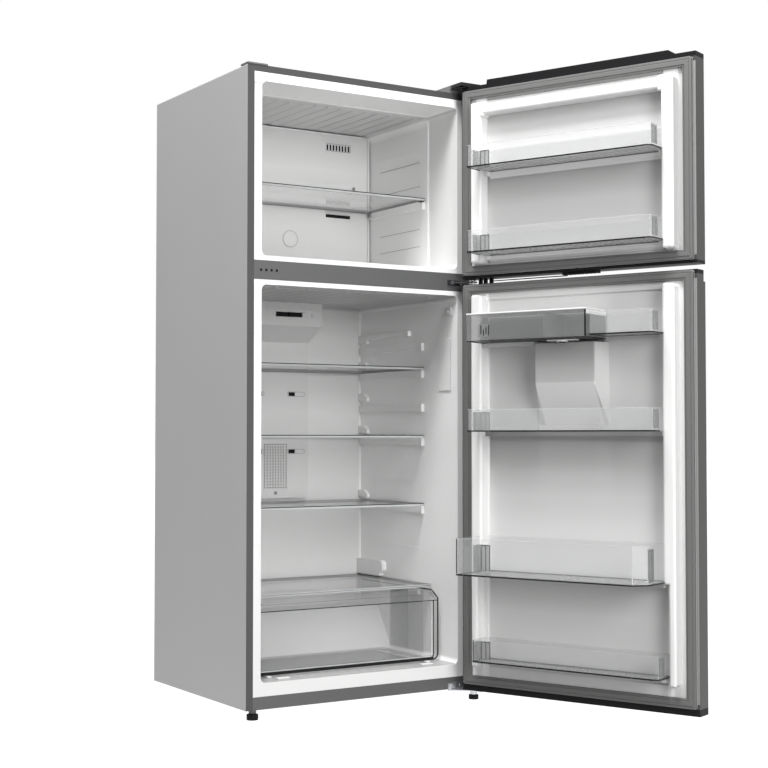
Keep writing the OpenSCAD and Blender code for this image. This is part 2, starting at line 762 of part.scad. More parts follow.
module evaporator_fan() color("#e4e4e2") resting() translate([0, motor_y - 20, fan_z]) rotate([-90, 0, 0])
    difference() {
        union() {
            cylinder(r = 17, h = 16);
            for (i = [0:fan_blades - 1]) rotate(i * 360 / fan_blades)
                translate([14, 0, 8]) rotate([28, 0, 0]) translate([0, -14, -1]) cube([fan_r - 15, 28, 2]);
        }
        translate([0, 0, -cut]) cylinder(r = 3 + pin_play, h = 16 + 2 * cut);
    }

// ---------------------------------------------------------------- fridge fittings

duct_x = 110;
duct_t = 20;
duct_head_t = 105;
duct_z = shelf_z[0] + 8;
head_z = fridge_top - 70;

module duct_profile(g) {
    polygon([
        [cavity_y + g - seat, duct_z + g], [cavity_y - duct_t + g, duct_z + g],
        [cavity_y - duct_t + g, head_z - 44 + g * 0.5],
        [cavity_y - duct_head_t + g, head_z + g * 0.5],
        [cavity_y - duct_head_t + g, fridge_top - seat - g], [cavity_y + g - seat, fridge_top - seat - g]
    ]);
}

// Duct that hands cold air out at several heights
module air_duct() color("#ededeb") resting() {
    face = cavity_y - duct_t;
    head = cavity_y - duct_head_t;
    difference() {
        across(-duct_x, duct_x) duct_profile(0);
        across(-duct_x + 3, duct_x - 3) duct_profile(3);
        block([-75, head - cut, head_z + 26], [75, head + 4, head_z + 40]);
        // Outlets: open on one half, and a shallow panel on the other
        both_sides() for (z = [shelf_z[1] + 115, shelf_z[0] + 140]) {
            slab(38, z, 98, z + 13, 6, face - cut, face + 1);
            block([44, face - cut, z + 1], [66, face + 4, z + 12]);
        }
        // Return grille
        for (i = [-4:4], k = [0:15]) translate([i * 9, face - cut, shelf_z[0] + 40 + k * 8.5])
            rotate([-90, 0, 0]) cylinder(r = 2.4, h = 5, $fn = 16);
    }
    block([-75, head - 3, head_z + 44], [75, head + 1, head_z + 50]);
    // Backing behind the ends of the slider's slot
    both_sides() block([44, head + 2.5, head_z + 24], [78, head + 4.5, head_z + 42]);
    translate([0, face + 1, duct_z + 16]) rotate([90, 0, 0]) cylinder(r = 6, h = 2.5);
}

module air_slider() color("#3a3b3d") resting() {
    head = cavity_y - duct_head_t;
    block([-40, head + 0.5, head_z + 26 + seat], [40, head + 2.5, head_z + 40 - seat]);
    block([-5, head - 9, head_z + 28], [5, head + 1, head_z + 38]);
}

lamp = [30, 88, shelf_z[2] - 70, shelf_z[2] + 73];

module lamp_cover() color("#f4f4f2") resting() difference() {
    block([open_x - 3, lamp[0], lamp[2]], [open_x, lamp[1], lamp[3]]);
    block([open_x - 1.5, lamp[0] + 2.5, lamp[2] + 2.5], [open_x + cut, lamp[1] - 2.5, lamp[3] - 2.5]);
}

switch_y = 38;
switch_z = fridge_top - 41;

module door_switch() color("#dcdcda") resting() difference() {
    block([open_x - 6, switch_y - 13, switch_z - 11], [open_x, switch_y + 13, switch_z + 11]);
    translate([open_x - 6 - cut, switch_y, switch_z]) rotate([0, 90, 0]) cylinder(r = 4 + pin_play, h = 6.5);
}

module switch_plunger() color("#f4f4f2") resting()
    translate([open_x - 9, switch_y, switch_z]) rotate([0, 90, 0]) cylinder(r = 4, h = 5);

// ---------------------------------------------------------------- shelves

// Cover of the glass by its trim
glass_in = 2;

module shelf_glass(hx, y0, y1, z) color("#cfe0dc") resting()
    block([-hx + glass_in, y0 + glass_in, z - glass_t], [hx - glass_in, y1 - glass_in, z]);

module shelf_trim(hx, y0, y1, z) color("#e8e8e6") resting() difference() {
    slab_flat(hx, y0, y1, z - trim_h, z, 3);
    block([-hx + trim_w, y0 + trim_w, z - trim_h - cut], [hx - trim_w, y1 - trim_w, z + cut]);
    block([-hx + glass_in, y0 + glass_in, z - glass_t], [hx - glass_in, y1 - glass_in, z + cut]);
}

// A flat rounded plate between two heights
module slab_flat(hx, y0, y1, z0, z1, r) {
    translate([0, 0, z0]) linear_extrude(z1 - z0) rounded(-hx, y0, hx, y1, r);
}

freezer_shelf_x = shelf_x - collar_step;
freezer_shelf_back = cover_wall_y - 7;
shelf_back = cavity_y - 22;

module freezer_shelf_glass() shelf_glass(freezer_shelf_x, freezer_shelf_y, freezer_shelf_back, freezer_shelf_z);
module freezer_shelf_trim() shelf_trim(freezer_shelf_x, freezer_shelf_y, freezer_shelf_back, freezer_shelf_z);
module lower_shelf_glass() shelf_glass(shelf_x, shelf_front_y, shelf_back, shelf_z[0]);
module lower_shelf_trim() shelf_trim(shelf_x, shelf_front_y, shelf_back, shelf_z[0]);
module middle_shelf_glass() shelf_glass(shelf_x, shelf_front_y, shelf_back, shelf_z[1]);
module middle_shelf_trim() shelf_trim(shelf_x, shelf_front_y, shelf_back, shelf_z[1]);
module upper_shelf_glass() shelf_glass(shelf_x, shelf_front_y, shelf_back, shelf_z[2]);
module upper_shelf_trim() shelf_trim(shelf_x, shelf_front_y, shelf_back, shelf_z[2]);
module crisper_cover_glass() shelf_glass(shelf_x, cover_front_y, cavity_y - 2, cover_z);
module crisper_cover_trim() shelf_trim(shelf_x, cover_front_y, cavity_y - 2, cover_z);

// ---------------------------------------------------------------- crisper drawer

drawer_w = 2 * (open_x - drawer_play);
drawer_z = fridge_z + 5;
drawer_top = cover_z - trim_h - 3;
roof_z = case_z + machine_h + machine_foam;
lean_run = machine_lean / (machine_h - machine_lean_h);
step_z = roof_z + 12;
step_y = machine_y - machine_foam - 16;
drawer_path = [
    [drawer_front_y, drawer_top + 2 * cut], [drawer_front_y, drawer_z], [step_y, drawer_z],
    [step_y + (step_z - drawer_z) * lean_run, step_z], [cavity_y - 17, step_z],
    [cavity_y - 17, drawer_top + 2 * cut]
];

module drawer_body(t, r) {
    intersection() {
        across(-drawer_w / 2 + t, drawer_w / 2 - t) polygon(shifted(drawer_path, t));
        translate([0, 0, fridge_z]) linear_extrude(cover_h)
            rounded(-drawer_w / 2 + t, drawer_front_y + t, drawer_w / 2 - t, cavity_y - 17 - t, r);
    }
}

module crisper_drawer() color("#b9c3c6") resting() {
    difference() {
        drawer_body(0, 20);
        drawer_body(drawer_t, 20 - drawer_t);
        block([-drawer_w, 0, drawer_top], [drawer_w, case_d, drawer_top + cover_h]);
        both_sides() upright(0, drawer_front_y + 24) polygon([
            [drawer_w / 2 - 16, drawer_top + 1], [drawer_w / 2 + 1, drawer_top - 20], [drawer_w / 2 + 1, drawer_top + 1]
        ]);
    }
    // Grip band along the front
    block([-drawer_w / 2 + 24, drawer_front_y - 4, drawer_top - grip_h],
        [drawer_w / 2 - 24, drawer_front_y + 1, drawer_top - grip_h + 4]);
    block([-drawer_w / 2 + 24, drawer_front_y - 4, drawer_top - 5],
        [drawer_w / 2 - 24, drawer_front_y + 1, drawer_top]);
}

// ---------------------------------------------------------------- door pieces

// A door seen from above, inset by g, with rounded front edges
module door_plan(g, y0, y1) {
    x = half_w - g;
    translate([-x, y0 + door_r]) square([2 * x, y1 - y0 - door_r]);
    translate([-x + door_r - g, y0]) square([2 * (x - door_r + g), door_r + 1]);
    for (side = [-1, 1]) translate([side * (x - door_r + g), y0 + door_r]) circle(door_r - g);
}

module door_core(g, z0, z1, y1) {
    translate([0, 0, z0]) linear_extrude(z1 - z0) door_plan(g, door_out_y + g, y1);
}

module wrap_hem(z0, z1) {
    both_sides() block([-half_w + 0.5, hem_y - sheet, z0], [-half_w + 17, hem_y, z1]);
}

// A raised bar of a door liner, inset by g: its outline, section and ends are all rounded
module bar(x0, z0, x1, z1, g, r) intersection() {
    y1 = dyke_y - g;
    edge = dyke_edge - g;
    upright(hem_y - g / 2, y1) rounded(x0 + g, z0 + g, x1 - g, z1 - g, r - g);
    translate([0, 0, z0]) linear_extrude(z1 - z0) bar_section(x0 + g, x1 - g, y1, edge);
    across(x0, x1) bar_section(z0 + g, z1 - g, y1, edge, true);
}

// The section of a bar between a and b, with its two outer corners rounded; along Y if turned
module bar_section(a, b, y1, r, turned = false) {
    y0 = hem_y - cut;
    mirror(turned ? [1, -1] : [0, 0]) {
        translate([a, y0]) square([b - a, y1 - r - y0]);
        translate([a + r, y0]) square([b - a - 2 * r, y1 - y0]);
        for (x = [a + r, b - r]) translate([x, y1 - r]) circle(r);
    }
}

// The raised bars, inset by g: one down each side, one across the top of the freezer door's
// between taller corners; the fridge door's step to a narrower bar beside the deep bin
module bars(d, g, top_bar) {
    low = top_bar ? d[0] : bottle_bin_box[0] - 4;
    both_sides() {
        bar(pan_x, low, dyke_x, d[1], g, dyke_r);
        if (!top_bar) bar(dyke_x - dyke_foot_w, d[0], dyke_x, low + 3 * dyke_w, g, dyke_foot_w / 2 - 0.5);
        if (top_bar) bar(pan_x - 10, d[1] - dyke_w - 8, dyke_x, d[1], g, dyke_r);
    }
    if (top_bar) bar(-dyke_x, d[1] - dyke_w, dyke_x, d[1] - 8, g, dyke_r);
}

// The shallow pan between the bars, grown by g
module pan(d, g, y1, top_bar)
    slab(-pan_x - g, d[0] - g, pan_x + g, (top_bar ? d[1] - dyke_w : d[1] - 12) + g, 8 + g, pan_y - g, y1);

// Lug under one end of a bin, on the left
module lug(b) block([-pan_x, pan_y, b[0] - lug_h], [-pan_x + 12, dyke_y - 14, b[0] - seat]);

// Ledge that runs across the pan just under a bin
module ledge(b) across(-pan_x + 9, pan_x - 9) polygon([
    [pan_y - 0.5, b[0] - lug_h - 9], [pan_y, b[0] - lug_h - 9], [pan_y + 7, b[0] - lug_h + 1],
    [pan_y + 7, b[0] - 2 * seat], [pan_y - 0.5, b[0] - 2 * seat]
]);

// The moulded inner face of a door: frame, raised bars, pan, and lugs under each bin
module door_liner(seal, d, top_bar, bins) {
    t = door_liner_t;
    difference() {
        union() {
            slab(-gasket_x, seal[0], gasket_x, seal[1], 6, hem_y, door_in_y);
            bars(d, 0, top_bar);
            pan(d, t, door_in_y, top_bar);
        }
        // The pan's mouth stays clear of the taller corners
        intersection() {
            pan(d, 0, dyke_y + cut, top_bar);
            if (top_bar) difference() {
                block([-half_w, pan_y - cut, 0], [half_w, dyke_y + 2 * cut, case_top]);
                both_sides() block([pan_x - 10, door_in_y, d[1] - dyke_w - 8], [half_w, dyke_y + 3 * cut, case_top]);
            }
            else block([-half_w, pan_y - cut, 0], [half_w, dyke_y + 2 * cut, case_top]);
        }
        bars(d, t, top_bar);
    }
    both_sides() for (b = bins) lug(b);
    for (b = bins) ledge(b);
}

module door_foam(z0, z1, d, top_bar) {
    difference() {
        door_core(sheet, z0, z1, hem_y);
        wrap_hem(z0 - cut, z1 + cut);
        pan(d, door_liner_t, 0, top_bar);
    }
    bars(d, door_liner_t, top_bar);
}

module gasket(seal) upright(door_in_y, gasket_top_y) difference() {
    rounded(-gasket_x, seal[0] + 0.5, gasket_x, seal[1] - 0.5, 6);
    rounded(-gasket_x + gasket_w, seal[0] + gasket_w, gasket_x - gasket_w, seal[1] - gasket_w, 4);
}

// Boss in a door cap, with the bore for a hinge pin; z is the outer face
module pin_boss(z, dir) {
    h = pin_l + 3;
    translate([hinge_x, hinge_y, dir > 0 ? z : z - h]) cylinder(r = 10, h = h);
}

module pin_bore(z, dir) {
    h = pin_l + 1;
    translate([hinge_x, hinge_y, dir > 0 ? z - cut : z - h]) cylinder(r = pin_r + pin_play, h = h + cut);
}

// ---------------------------------------------------------------- freezer door

module freezer_door_skin() color("#8e8f91") on_door() {
    z0 = freezer_seal[0];
    difference() {
        door_core(0, z0, freezer_door_top, hem_y);
        door_core(sheet, z0 - cut, freezer_door_top + cut, hem_y + cut);
    }
    wrap_hem(z0, freezer_door_top);
}

module freezer_door_foam() color("#d9c98c") on_door() difference() {
    door_foam(freezer_seal[0], freezer_door_top, freezer_dyke, true);
    pin_boss(freezer_door_z, 1);
    pin_boss(freezer_door_top + top_cap_h, -1);
}

module freezer_door_liner() color("#f2f2f0") on_door()
    door_liner(freezer_seal, freezer_dyke, true, [upper_bin, lower_bin]);

module freezer_door_gasket() color("#8b8b89") on_door() gasket(freezer_seal);

module freezer_door_caps() color("#2b2b2d") on_door() difference() {
    top = freezer_door_top + top_cap_h;
    union() {
        door_core(0, freezer_door_z, freezer_seal[0], hem_y);
        door_core(0, freezer_door_top, top, hem_y);
        // Raised bar with sloping ends
        upright(door_out_y + 5, hem_y - 6) polygon([
            [-half_w + 58, top - 1], [half_w - 76, top - 1],
            [half_w - 78, top + cap_bar_h], [-half_w + 78, top + cap_bar_h]
        ]);
        // Ribbed grip under the door
        for (x = [-62:12:34]) block([x - 4, hem_y - 26, freezer_door_z - 7], [x + 4, hem_y - 6, freezer_door_z]);
        block([-66, hem_y - 23, freezer_door_z - 4], [38, hem_y - 9, freezer_door_z]);
        pin_boss(freezer_door_z, 1);
        pin_boss(top, -1);
    }
    pin_bore(freezer_door_z, 1);
    pin_bore(top, -1);
}

// ---------------------------------------------------------------- fridge door

// The skin's outside: full depth below, set back along the finger pocket
module fridge_door_core(g, z0, z1, y1) {
    zp = fridge_door_top - pocket_h;
    door_core(g, z0, zp - g, y1);
    translate([0, 0, zp - g - 1]) linear_extrude(z1 - zp + g + 1)
        door_plan(g, door_out_y + pocket_d + g, y1);
}

recess_path = [
    [door_out_y, recess_z], [recess_foot_y, recess_z],
    [recess_back_y, recess_z + recess_slope_h], [recess_back_y, recess_top],
    [door_out_y, recess_top]
];

// The dispenser's recess, grown by g, from y0
module recess_box(g, y0) {
    grown = shifted(recess_path, -g);
    across(-recess_w / 2 - g, recess_w / 2 + g)
        polygon(concat([[y0, recess_z - g]], [for (i = [1:3]) grown[i]], [[y0, recess_top + g]]));
}

// The bulge in the liner over the recess, inset by g: its sides draw in towards the front
// of it and its lower face slopes back to the pan
module bulge(g, y0) intersection() {
    z0 = bulge_z;
    z1 = recess_top + 12;
    across(-bulge_x, bulge_x) polygon([
        [y0, z0 + 1.3 * g], [pan_y, z0 + 1.3 * g], [bulge_y - g, z0 + bulge_slope_h + 0.6 * g],
        [bulge_y - g, z1 - g], [y0, z1 - g]
    ]);
    translate([0, 0, z0]) linear_extrude(z1 - z0) polygon([
        [-bulge_x + 1.3 * g, y0], [-bulge_x + 1.3 * g, pan_y], [-bulge_x + bulge_draft + 0.6 * g, bulge_y - g],
        [bulge_x - bulge_draft - 0.6 * g, bulge_y - g], [bulge_x - 1.3 * g, pan_y], [bulge_x - 1.3 * g, y0]
    ]);
}

module valve_hole(r) {
    translate([0, valve_y, recess_top - 6]) cylinder(r = r, h = tank_z - recess_top + 12);
}

housing_t = 2.5;

module fridge_door_skin() color("#8e8f91") on_door() difference() {
    z0 = fridge_seal[0];
    z1 = fridge_door_top - upper_cap_h;
    union() {
        difference() {
            fridge_door_core(0, z0, z1, hem_y);
            fridge_door_core(sheet, z0 - cut, z1 + cut, hem_y + cut);
        }
        wrap_hem(z0, z1);
    }
    recess_box(housing_t, door_out_y - cut);
}

module fridge_door_foam() color("#d9c98c") on_door() difference() {
    union() {
        difference() {
            fridge_door_core(sheet, fridge_seal[0], fridge_door_top - upper_cap_h, hem_y);
            wrap_hem(fridge_seal[0] - cut, fridge_door_top);
            pan(fridge_dyke, door_liner_t, 0, false);
        }
        bars(fridge_dyke, door_liner_t, false);
        bulge(door_liner_t, pan_y - 5);
    }
    recess_box(housing_t, door_out_y - cut);
    valve_hole(valve_r + seat);
    pin_boss(fridge_door_z, 1);
    pin_boss(fridge_door_top, -1);
}

module fridge_door_liner() color("#f2f2f0") on_door() {
    difference() {
        union() {
            door_liner(fridge_seal, fridge_dyke, false, [jar_bin_box, bottle_bin_box, can_bin_box]);
            bulge(0, pan_y - 1);
        }
        bulge(door_liner_t, pan_y - 5);
        valve_hole(valve_r + seat);
    }
    lug(top_bin_box);
    // Ledge under the water tank
    block([bulge_x + 2, pan_y, tank_z - 10], [tank_right - 2, tank_front_y - 82, tank_z - seat]);
}

module fridge_door_gasket() color("#8b8b89") on_door() gasket(fridge_seal);

module fridge_door_caps() color("#2b2b2d") on_door() difference() {
    union() {
        door_core(0, fridge_door_z, fridge_seal[0], hem_y);
        translate([0, 0, fridge_door_top - upper_cap_h]) linear_extrude(upper_cap_h)
            door_plan(0, door_out_y + pocket_d, hem_y);
        pin_boss(fridge_door_z, 1);
        pin_boss(fridge_door_top, -1);
    }
    pin_bore(fridge_door_z, 1);
    pin_bore(fridge_door_top, -1);
}

module dispenser_housing() color("#2f3032") on_door() difference() {
    union() {
        difference() {
            union() {
                recess_box(housing_t, door_out_y);
                slab(-recess_w / 2 - 9, recess_z - 9, recess_w / 2 + 9, recess_top + 9, 8,
                    door_out_y - 2, door_out_y);
            }
            recess_box(0, door_out_y - 3);
        }
        // Cheeks that hold the lever's pins
        both_sides() block([-50, lever_y - 7, lever_z - 7], [-42, lever_y + 7, recess_top + 1]);
        // Grid that catches drips
        for (i = [-3:3]) block([i * 14 - 3, door_out_y + 10, recess_z], [i * 14 + 3, recess_foot_y, recess_z + 2]);
    }
    valve_hole(valve_r + seat);
    translate([-46, lever_y, lever_z]) rotate([0, 90, 0]) cylinder(r = 2.5 + pin_play, h = 92);
}

module dispenser_lever() color("#4a4b4d") on_door() {
    translate([-45.5, lever_y, lever_z]) rotate([0, 90, 0]) cylinder(r = 2.5, h = 91);
    translate([-41.5, lever_y, lever_z]) rotate([0, 90, 0]) cylinder(r = 4.5, h = 83);
    block([-paddle_r, lever_y - 2, lever_z - lever_l], [paddle_r, lever_y + 2, lever_z]);
    upright(lever_y - 2, lever_y + 2) translate([0, lever_z - lever_l]) circle(paddle_r);
}

// Tank plan, inset by g
module tank_plan(g) {
    y0 = pan_y + bin_play;
    rounded(tank_left + g, y0 + g, tank_right - g, tank_front_y - g, 14 - g);
}

module water_tank() color("#c9d2d4") on_door() {
    difference() {
        translate([0, 0, tank_z]) linear_extrude(tank_h) tank_plan(0);
        translate([0, 0, tank_z + bin_t]) linear_extrude(tank_h) tank_plan(bin_t);
        translate([0, valve_y, tank_z - cut]) cylinder(r = 4, h = 6);
    }
    difference() {
        translate([0, valve_y, recess_top - 10]) cylinder(r = valve_r, h = tank_z - recess_top + 11);
        translate([0, valve_y, recess_top - 11]) cylinder(r = 4, h = tank_z - recess_top + 14);
    }
}

lid_y = pan_y + bin_play + 7;
lid_z = tank_z + tank_h + seat;

module tank_lid() color("#b4bec1") on_door() difference() {
    union() {
        translate([0, 0, lid_z]) linear_extrude(lid_t) intersection() {
            tank_plan(0);
            translate([tank_left, lid_y]) square([tank_w, tank_reach]);
        }
        // Round back edge that the lid turns on
        translate([tank_left + 6, lid_y, lid_z + lid_t / 2]) rotate([0, 90, 0])
            cylinder(r = lid_t / 2, h = tank_w - 12);
    }
    // Finger notch at the front
    translate([(tank_left + tank_right) / 2, tank_front_y + 6, lid_z - cut]) cylinder(r = 18, h = lid_t + 2 * cut);
}

// ---------------------------------------------------------------- door bins

// Bin seen from above: it fits between the raised rims, then widens in front of them
module bin_plan(x0, x1, wide0, wide1, front, g) {
    y0 = pan_y + bin_play;
    y1 = dyke_y + bin_play;
    translate([x0 + g, y0 + g]) square([x1 - x0 - 2 * g, y1 - y0 + 10]);
    rounded(x0 - wide0 + g, y1 + g, x1 + wide1 - g, front - g, min(bin_r, (front - y1) / 2 - 2) - g);
}

// Cuts the two front corners off a deep bin
module corner_cut(b, c) both_sides() translate([0, 0, b[0] - cut]) linear_extrude(b[1] + 2 * cut)
    polygon([[bin_x - c, b[2] + 1], [bin_x + 1, b[2] - c], [bin_x + 1, b[2] + 1]]);

module bin(b, x0, x1, wide0, wide1) difference() {
    translate([0, 0, b[0]]) linear_extrude(b[1]) bin_plan(x0, x1, wide0, wide1, b[2], 0);
    translate([0, 0, b[0] + bin_t]) linear_extrude(b[1] - bin_t - 5) bin_plan(x0, x1, wide0, wide1, b[2], bin_t);
    translate([0, 0, b[0] + b[1] - 5 - cut]) linear_extrude(6 + cut) bin_plan(x0, x1, wide0, wide1, b[2], bin_t + 1);
}

bin_half = pan_x - bin_play;
bin_out = bin_x - bin_half;

module full_bin(b) bin(b, -bin_half, bin_half, bin_out, bin_out);

module freezer_bin_upper() color("#c9d2d4") on_door() full_bin(upper_bin);
module freezer_bin_lower() color("#c9d2d4") on_door() full_bin(lower_bin);
module jar_bin() color("#c9d2d4") on_door() full_bin(jar_bin_box);
module bottle_bin() color("#c9d2d4") on_door() {
    b = bottle_bin_box;
    difference() {
        full_bin(b);
        corner_cut(b, 52);
    }
    // The slanting corner walls
    both_sides() translate([0, 0, b[0]]) linear_extrude(b[1]) polygon([
        [bin_x - 51, b[2]], [bin_x, b[2] - 51], [bin_x, b[2] - 51 - 1.42 * bin_t], [bin_x - 51 - 1.42 * bin_t, b[2]]
    ]);
}
module top_bin() color("#c9d2d4") on_door() bin(top_bin_box, -bin_half, tank_left - 3, bin_out, 0);

// The bin below the dispenser is notched round the back of it
module can_bin() color("#c9d2d4") on_door() {
    x = bulge_x + 4;
    y = bulge_y + 4;
    b = can_bin_box;
    difference() {
        full_bin(b);
        block([-x, pan_y, b[0] - cut], [x, y, b[0] + b[1] + cut]);
    }
    block([-x - bin_t, y, b[0]], [x + bin_t, y + bin_t, b[0] + b[1]]);
    both_sides() block([-x - bin_t, pan_y + bin_play, b[0]], [-x, y + bin_t, b[0] + b[1]]);
}

// ---------------------------------------------------------------- the model

case_shell();
back_panel();
base_pan();
foam_insulation();
freezer_liner();
fridge_liner();
mullion_rail();
evaporator_cover();
evaporator_coil();
fan_motor();
evaporator_fan();
air_duct();
lamp_cover();
door_switch();
switch_plunger();
top_hinge();
hinge_covers();
middle_hinge();
bottom_hinge();
left_foot();
right_foot();
roller_brackets();
left_roller();
right_roller();
compressor();
compressor_mounts();
drain_tray();
rear_cover();
freezer_shelf_glass();
freezer_shelf_trim();
lower_shelf_glass();
lower_shelf_trim();
middle_shelf_glass();
middle_shelf_trim();
upper_shelf_glass();
upper_shelf_trim();
crisper_cover_glass();
crisper_cover_trim();
crisper_drawer();
freezer_door_skin();
freezer_door_foam();
freezer_door_liner();
freezer_door_gasket();
freezer_door_caps();
freezer_bin_upper();
freezer_bin_lower();
fridge_door_skin();
fridge_door_foam();
fridge_door_liner();
fridge_door_gasket();
fridge_door_caps();
dispenser_housing();
dispenser_lever();
water_tank();
tank_lid();
air_slider();
top_bin();
can_bin();
bottle_bin();
jar_bin();
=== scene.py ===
import json
import math

import bmesh
import bpy
from mathutils import Matrix, Vector


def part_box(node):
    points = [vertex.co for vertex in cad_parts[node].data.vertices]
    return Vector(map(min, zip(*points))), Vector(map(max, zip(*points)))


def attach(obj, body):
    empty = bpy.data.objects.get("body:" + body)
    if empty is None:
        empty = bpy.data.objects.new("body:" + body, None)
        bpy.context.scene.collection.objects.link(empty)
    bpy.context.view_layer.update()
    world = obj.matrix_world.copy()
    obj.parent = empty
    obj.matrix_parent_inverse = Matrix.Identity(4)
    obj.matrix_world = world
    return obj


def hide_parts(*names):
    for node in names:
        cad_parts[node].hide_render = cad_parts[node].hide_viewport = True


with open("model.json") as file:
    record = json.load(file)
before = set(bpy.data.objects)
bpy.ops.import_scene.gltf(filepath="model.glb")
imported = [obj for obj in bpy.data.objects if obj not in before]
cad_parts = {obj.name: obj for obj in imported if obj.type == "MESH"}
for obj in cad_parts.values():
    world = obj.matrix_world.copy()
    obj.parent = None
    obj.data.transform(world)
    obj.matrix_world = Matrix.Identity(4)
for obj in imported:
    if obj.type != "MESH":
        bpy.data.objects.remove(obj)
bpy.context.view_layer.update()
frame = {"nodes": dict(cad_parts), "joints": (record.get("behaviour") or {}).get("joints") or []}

nodes = frame["nodes"]

# ---------------------------------------------------------------- studio
# A pale floor without an end, and four soft lamps: high on the left, in front, near the
# floor and overhead. The camera is a little below the middle of the case, and looks in past
# the open doors.

scene = bpy.context.scene
scene.view_settings.view_transform = "Standard"
# The clear mouldings lie many layers deep
scene.cycles.transparent_max_bounces = 32

eye = bpy.data.cameras.new("camera")
eye.sensor_width = 36
eye.lens = 70.5
eye.clip_end = 100
camera = bpy.data.objects.new("camera", eye)
camera.location = (-2.2402, -3.3836, 0.7251)
camera.rotation_euler = (math.radians(90 + 1.97), 0, math.radians(-32.32))
scene.collection.objects.link(camera)
scene.camera = camera


def lamp(name, place, target, size, power):
    """A square soft lamp that looks at a point."""
    light = bpy.data.lights.new(name, "AREA")
    light.shape = "RECTANGLE"
    light.size, light.size_y = size
    light.energy = power
    holder = bpy.data.objects.new(name, light)
    holder.location = place
    holder.rotation_euler = (Vector(target) - Vector(place)).to_track_quat("-Z", "Y").to_euler()
    holder.visible_camera = False
    scene.collection.objects.link(holder)


lamp("lamp_left", (-2.6, -1.8, 4.2), (-0.3, 0.1, 1.4), (1.2, 1.2), 50)
lamp("lamp_front", (-0.8, -5.2, 2.2), (0, 0.2, 0.7), (1.8, 2.0), 128)
lamp("lamp_low", (0.3, -3.6, 0.25), (0.1, 0.2, 1.0), (1.6, 0.4), 22)
lamp("lamp_above", (-0.9, -0.9, 4.2), (0, 0, 0.8), (1.0, 1.0), 146)


def white_for_camera(shader_nodes, links, kind, strength):
    """A mask of the rays that see white (camera, gloss and glass), and the white shader."""
    path = shader_nodes.new("ShaderNodeLightPath")
    seen = shader_nodes.new("ShaderNodeMath")
    seen.operation = "MAXIMUM"
    links.new(path.outputs["Is Camera Ray"], seen.inputs[0])
    gloss = shader_nodes.new("ShaderNodeMath")
    gloss.operation = "MAXIMUM"
    links.new(path.outputs["Is Glossy Ray"], gloss.inputs[0])
    links.new(path.outputs["Is Transmission Ray"], gloss.inputs[1])
    links.new(gloss.outputs[0], seen.inputs[1])
    glow = shader_nodes.new(kind)
    glow.inputs["Color"].default_value = (1, 1, 1, 1)
    glow.inputs["Strength"].default_value = strength
    return seen, glow


world = bpy.data.worlds.new("studio")
world.use_nodes = True
scene.world = world
sky = world.node_tree
sky.nodes.clear()
room = sky.nodes.new("ShaderNodeBackground")
room.inputs["Color"].default_value = (1, 1, 1, 1)
room.inputs["Strength"].default_value = 0.15
seen, glow = white_for_camera(sky.nodes, sky.links, "ShaderNodeBackground", 1.0)
mix = sky.nodes.new("ShaderNodeMixShader")
sky.links.new(seen.outputs[0], mix.inputs[0])
sky.links.new(room.outputs[0], mix.inputs[1])
sky.links.new(glow.outputs[0], mix.inputs[2])
sky.links.new(mix.outputs[0], sky.nodes.new("ShaderNodeOutputWorld").inputs["Surface"])

grid = bmesh.new()
bmesh.ops.create_grid(grid, x_segments=1, y_segments=1, size=40)
floor_mesh = bpy.data.meshes.new("floor")
grid.to_mesh(floor_mesh)
grid.free()
floor = bpy.data.objects.new("floor", floor_mesh)
scene.collection.objects.link(floor)
floor_look = bpy.data.materials.new("studio_floor")
floor_look.use_nodes = True
tree = floor_look.node_tree
tree.nodes.clear()
matt = tree.nodes.new("ShaderNodeBsdfDiffuse")
matt.inputs["Color"].default_value = (0.25, 0.25, 0.25, 1)
seen, glow = white_for_camera(tree.nodes, tree.links, "ShaderNodeEmission", 1.1)
dark = tree.nodes.new("ShaderNodeEmission")
dark.inputs["Strength"].default_value = 0
pick = tree.nodes.new("ShaderNodeMixShader")
tree.links.new(seen.outputs[0], pick.inputs[0])
tree.links.new(dark.outputs[0], pick.inputs[1])
tree.links.new(glow.outputs[0], pick.inputs[2])
both = tree.nodes.new("ShaderNodeAddShader")
tree.links.new(matt.outputs[0], both.inputs[0])
tree.links.new(pick.outputs[0], both.inputs[1])
tree.links.new(both.outputs[0], tree.nodes.new("ShaderNodeOutputMaterial").inputs["Surface"])
floor_mesh.materials.append(floor_look)
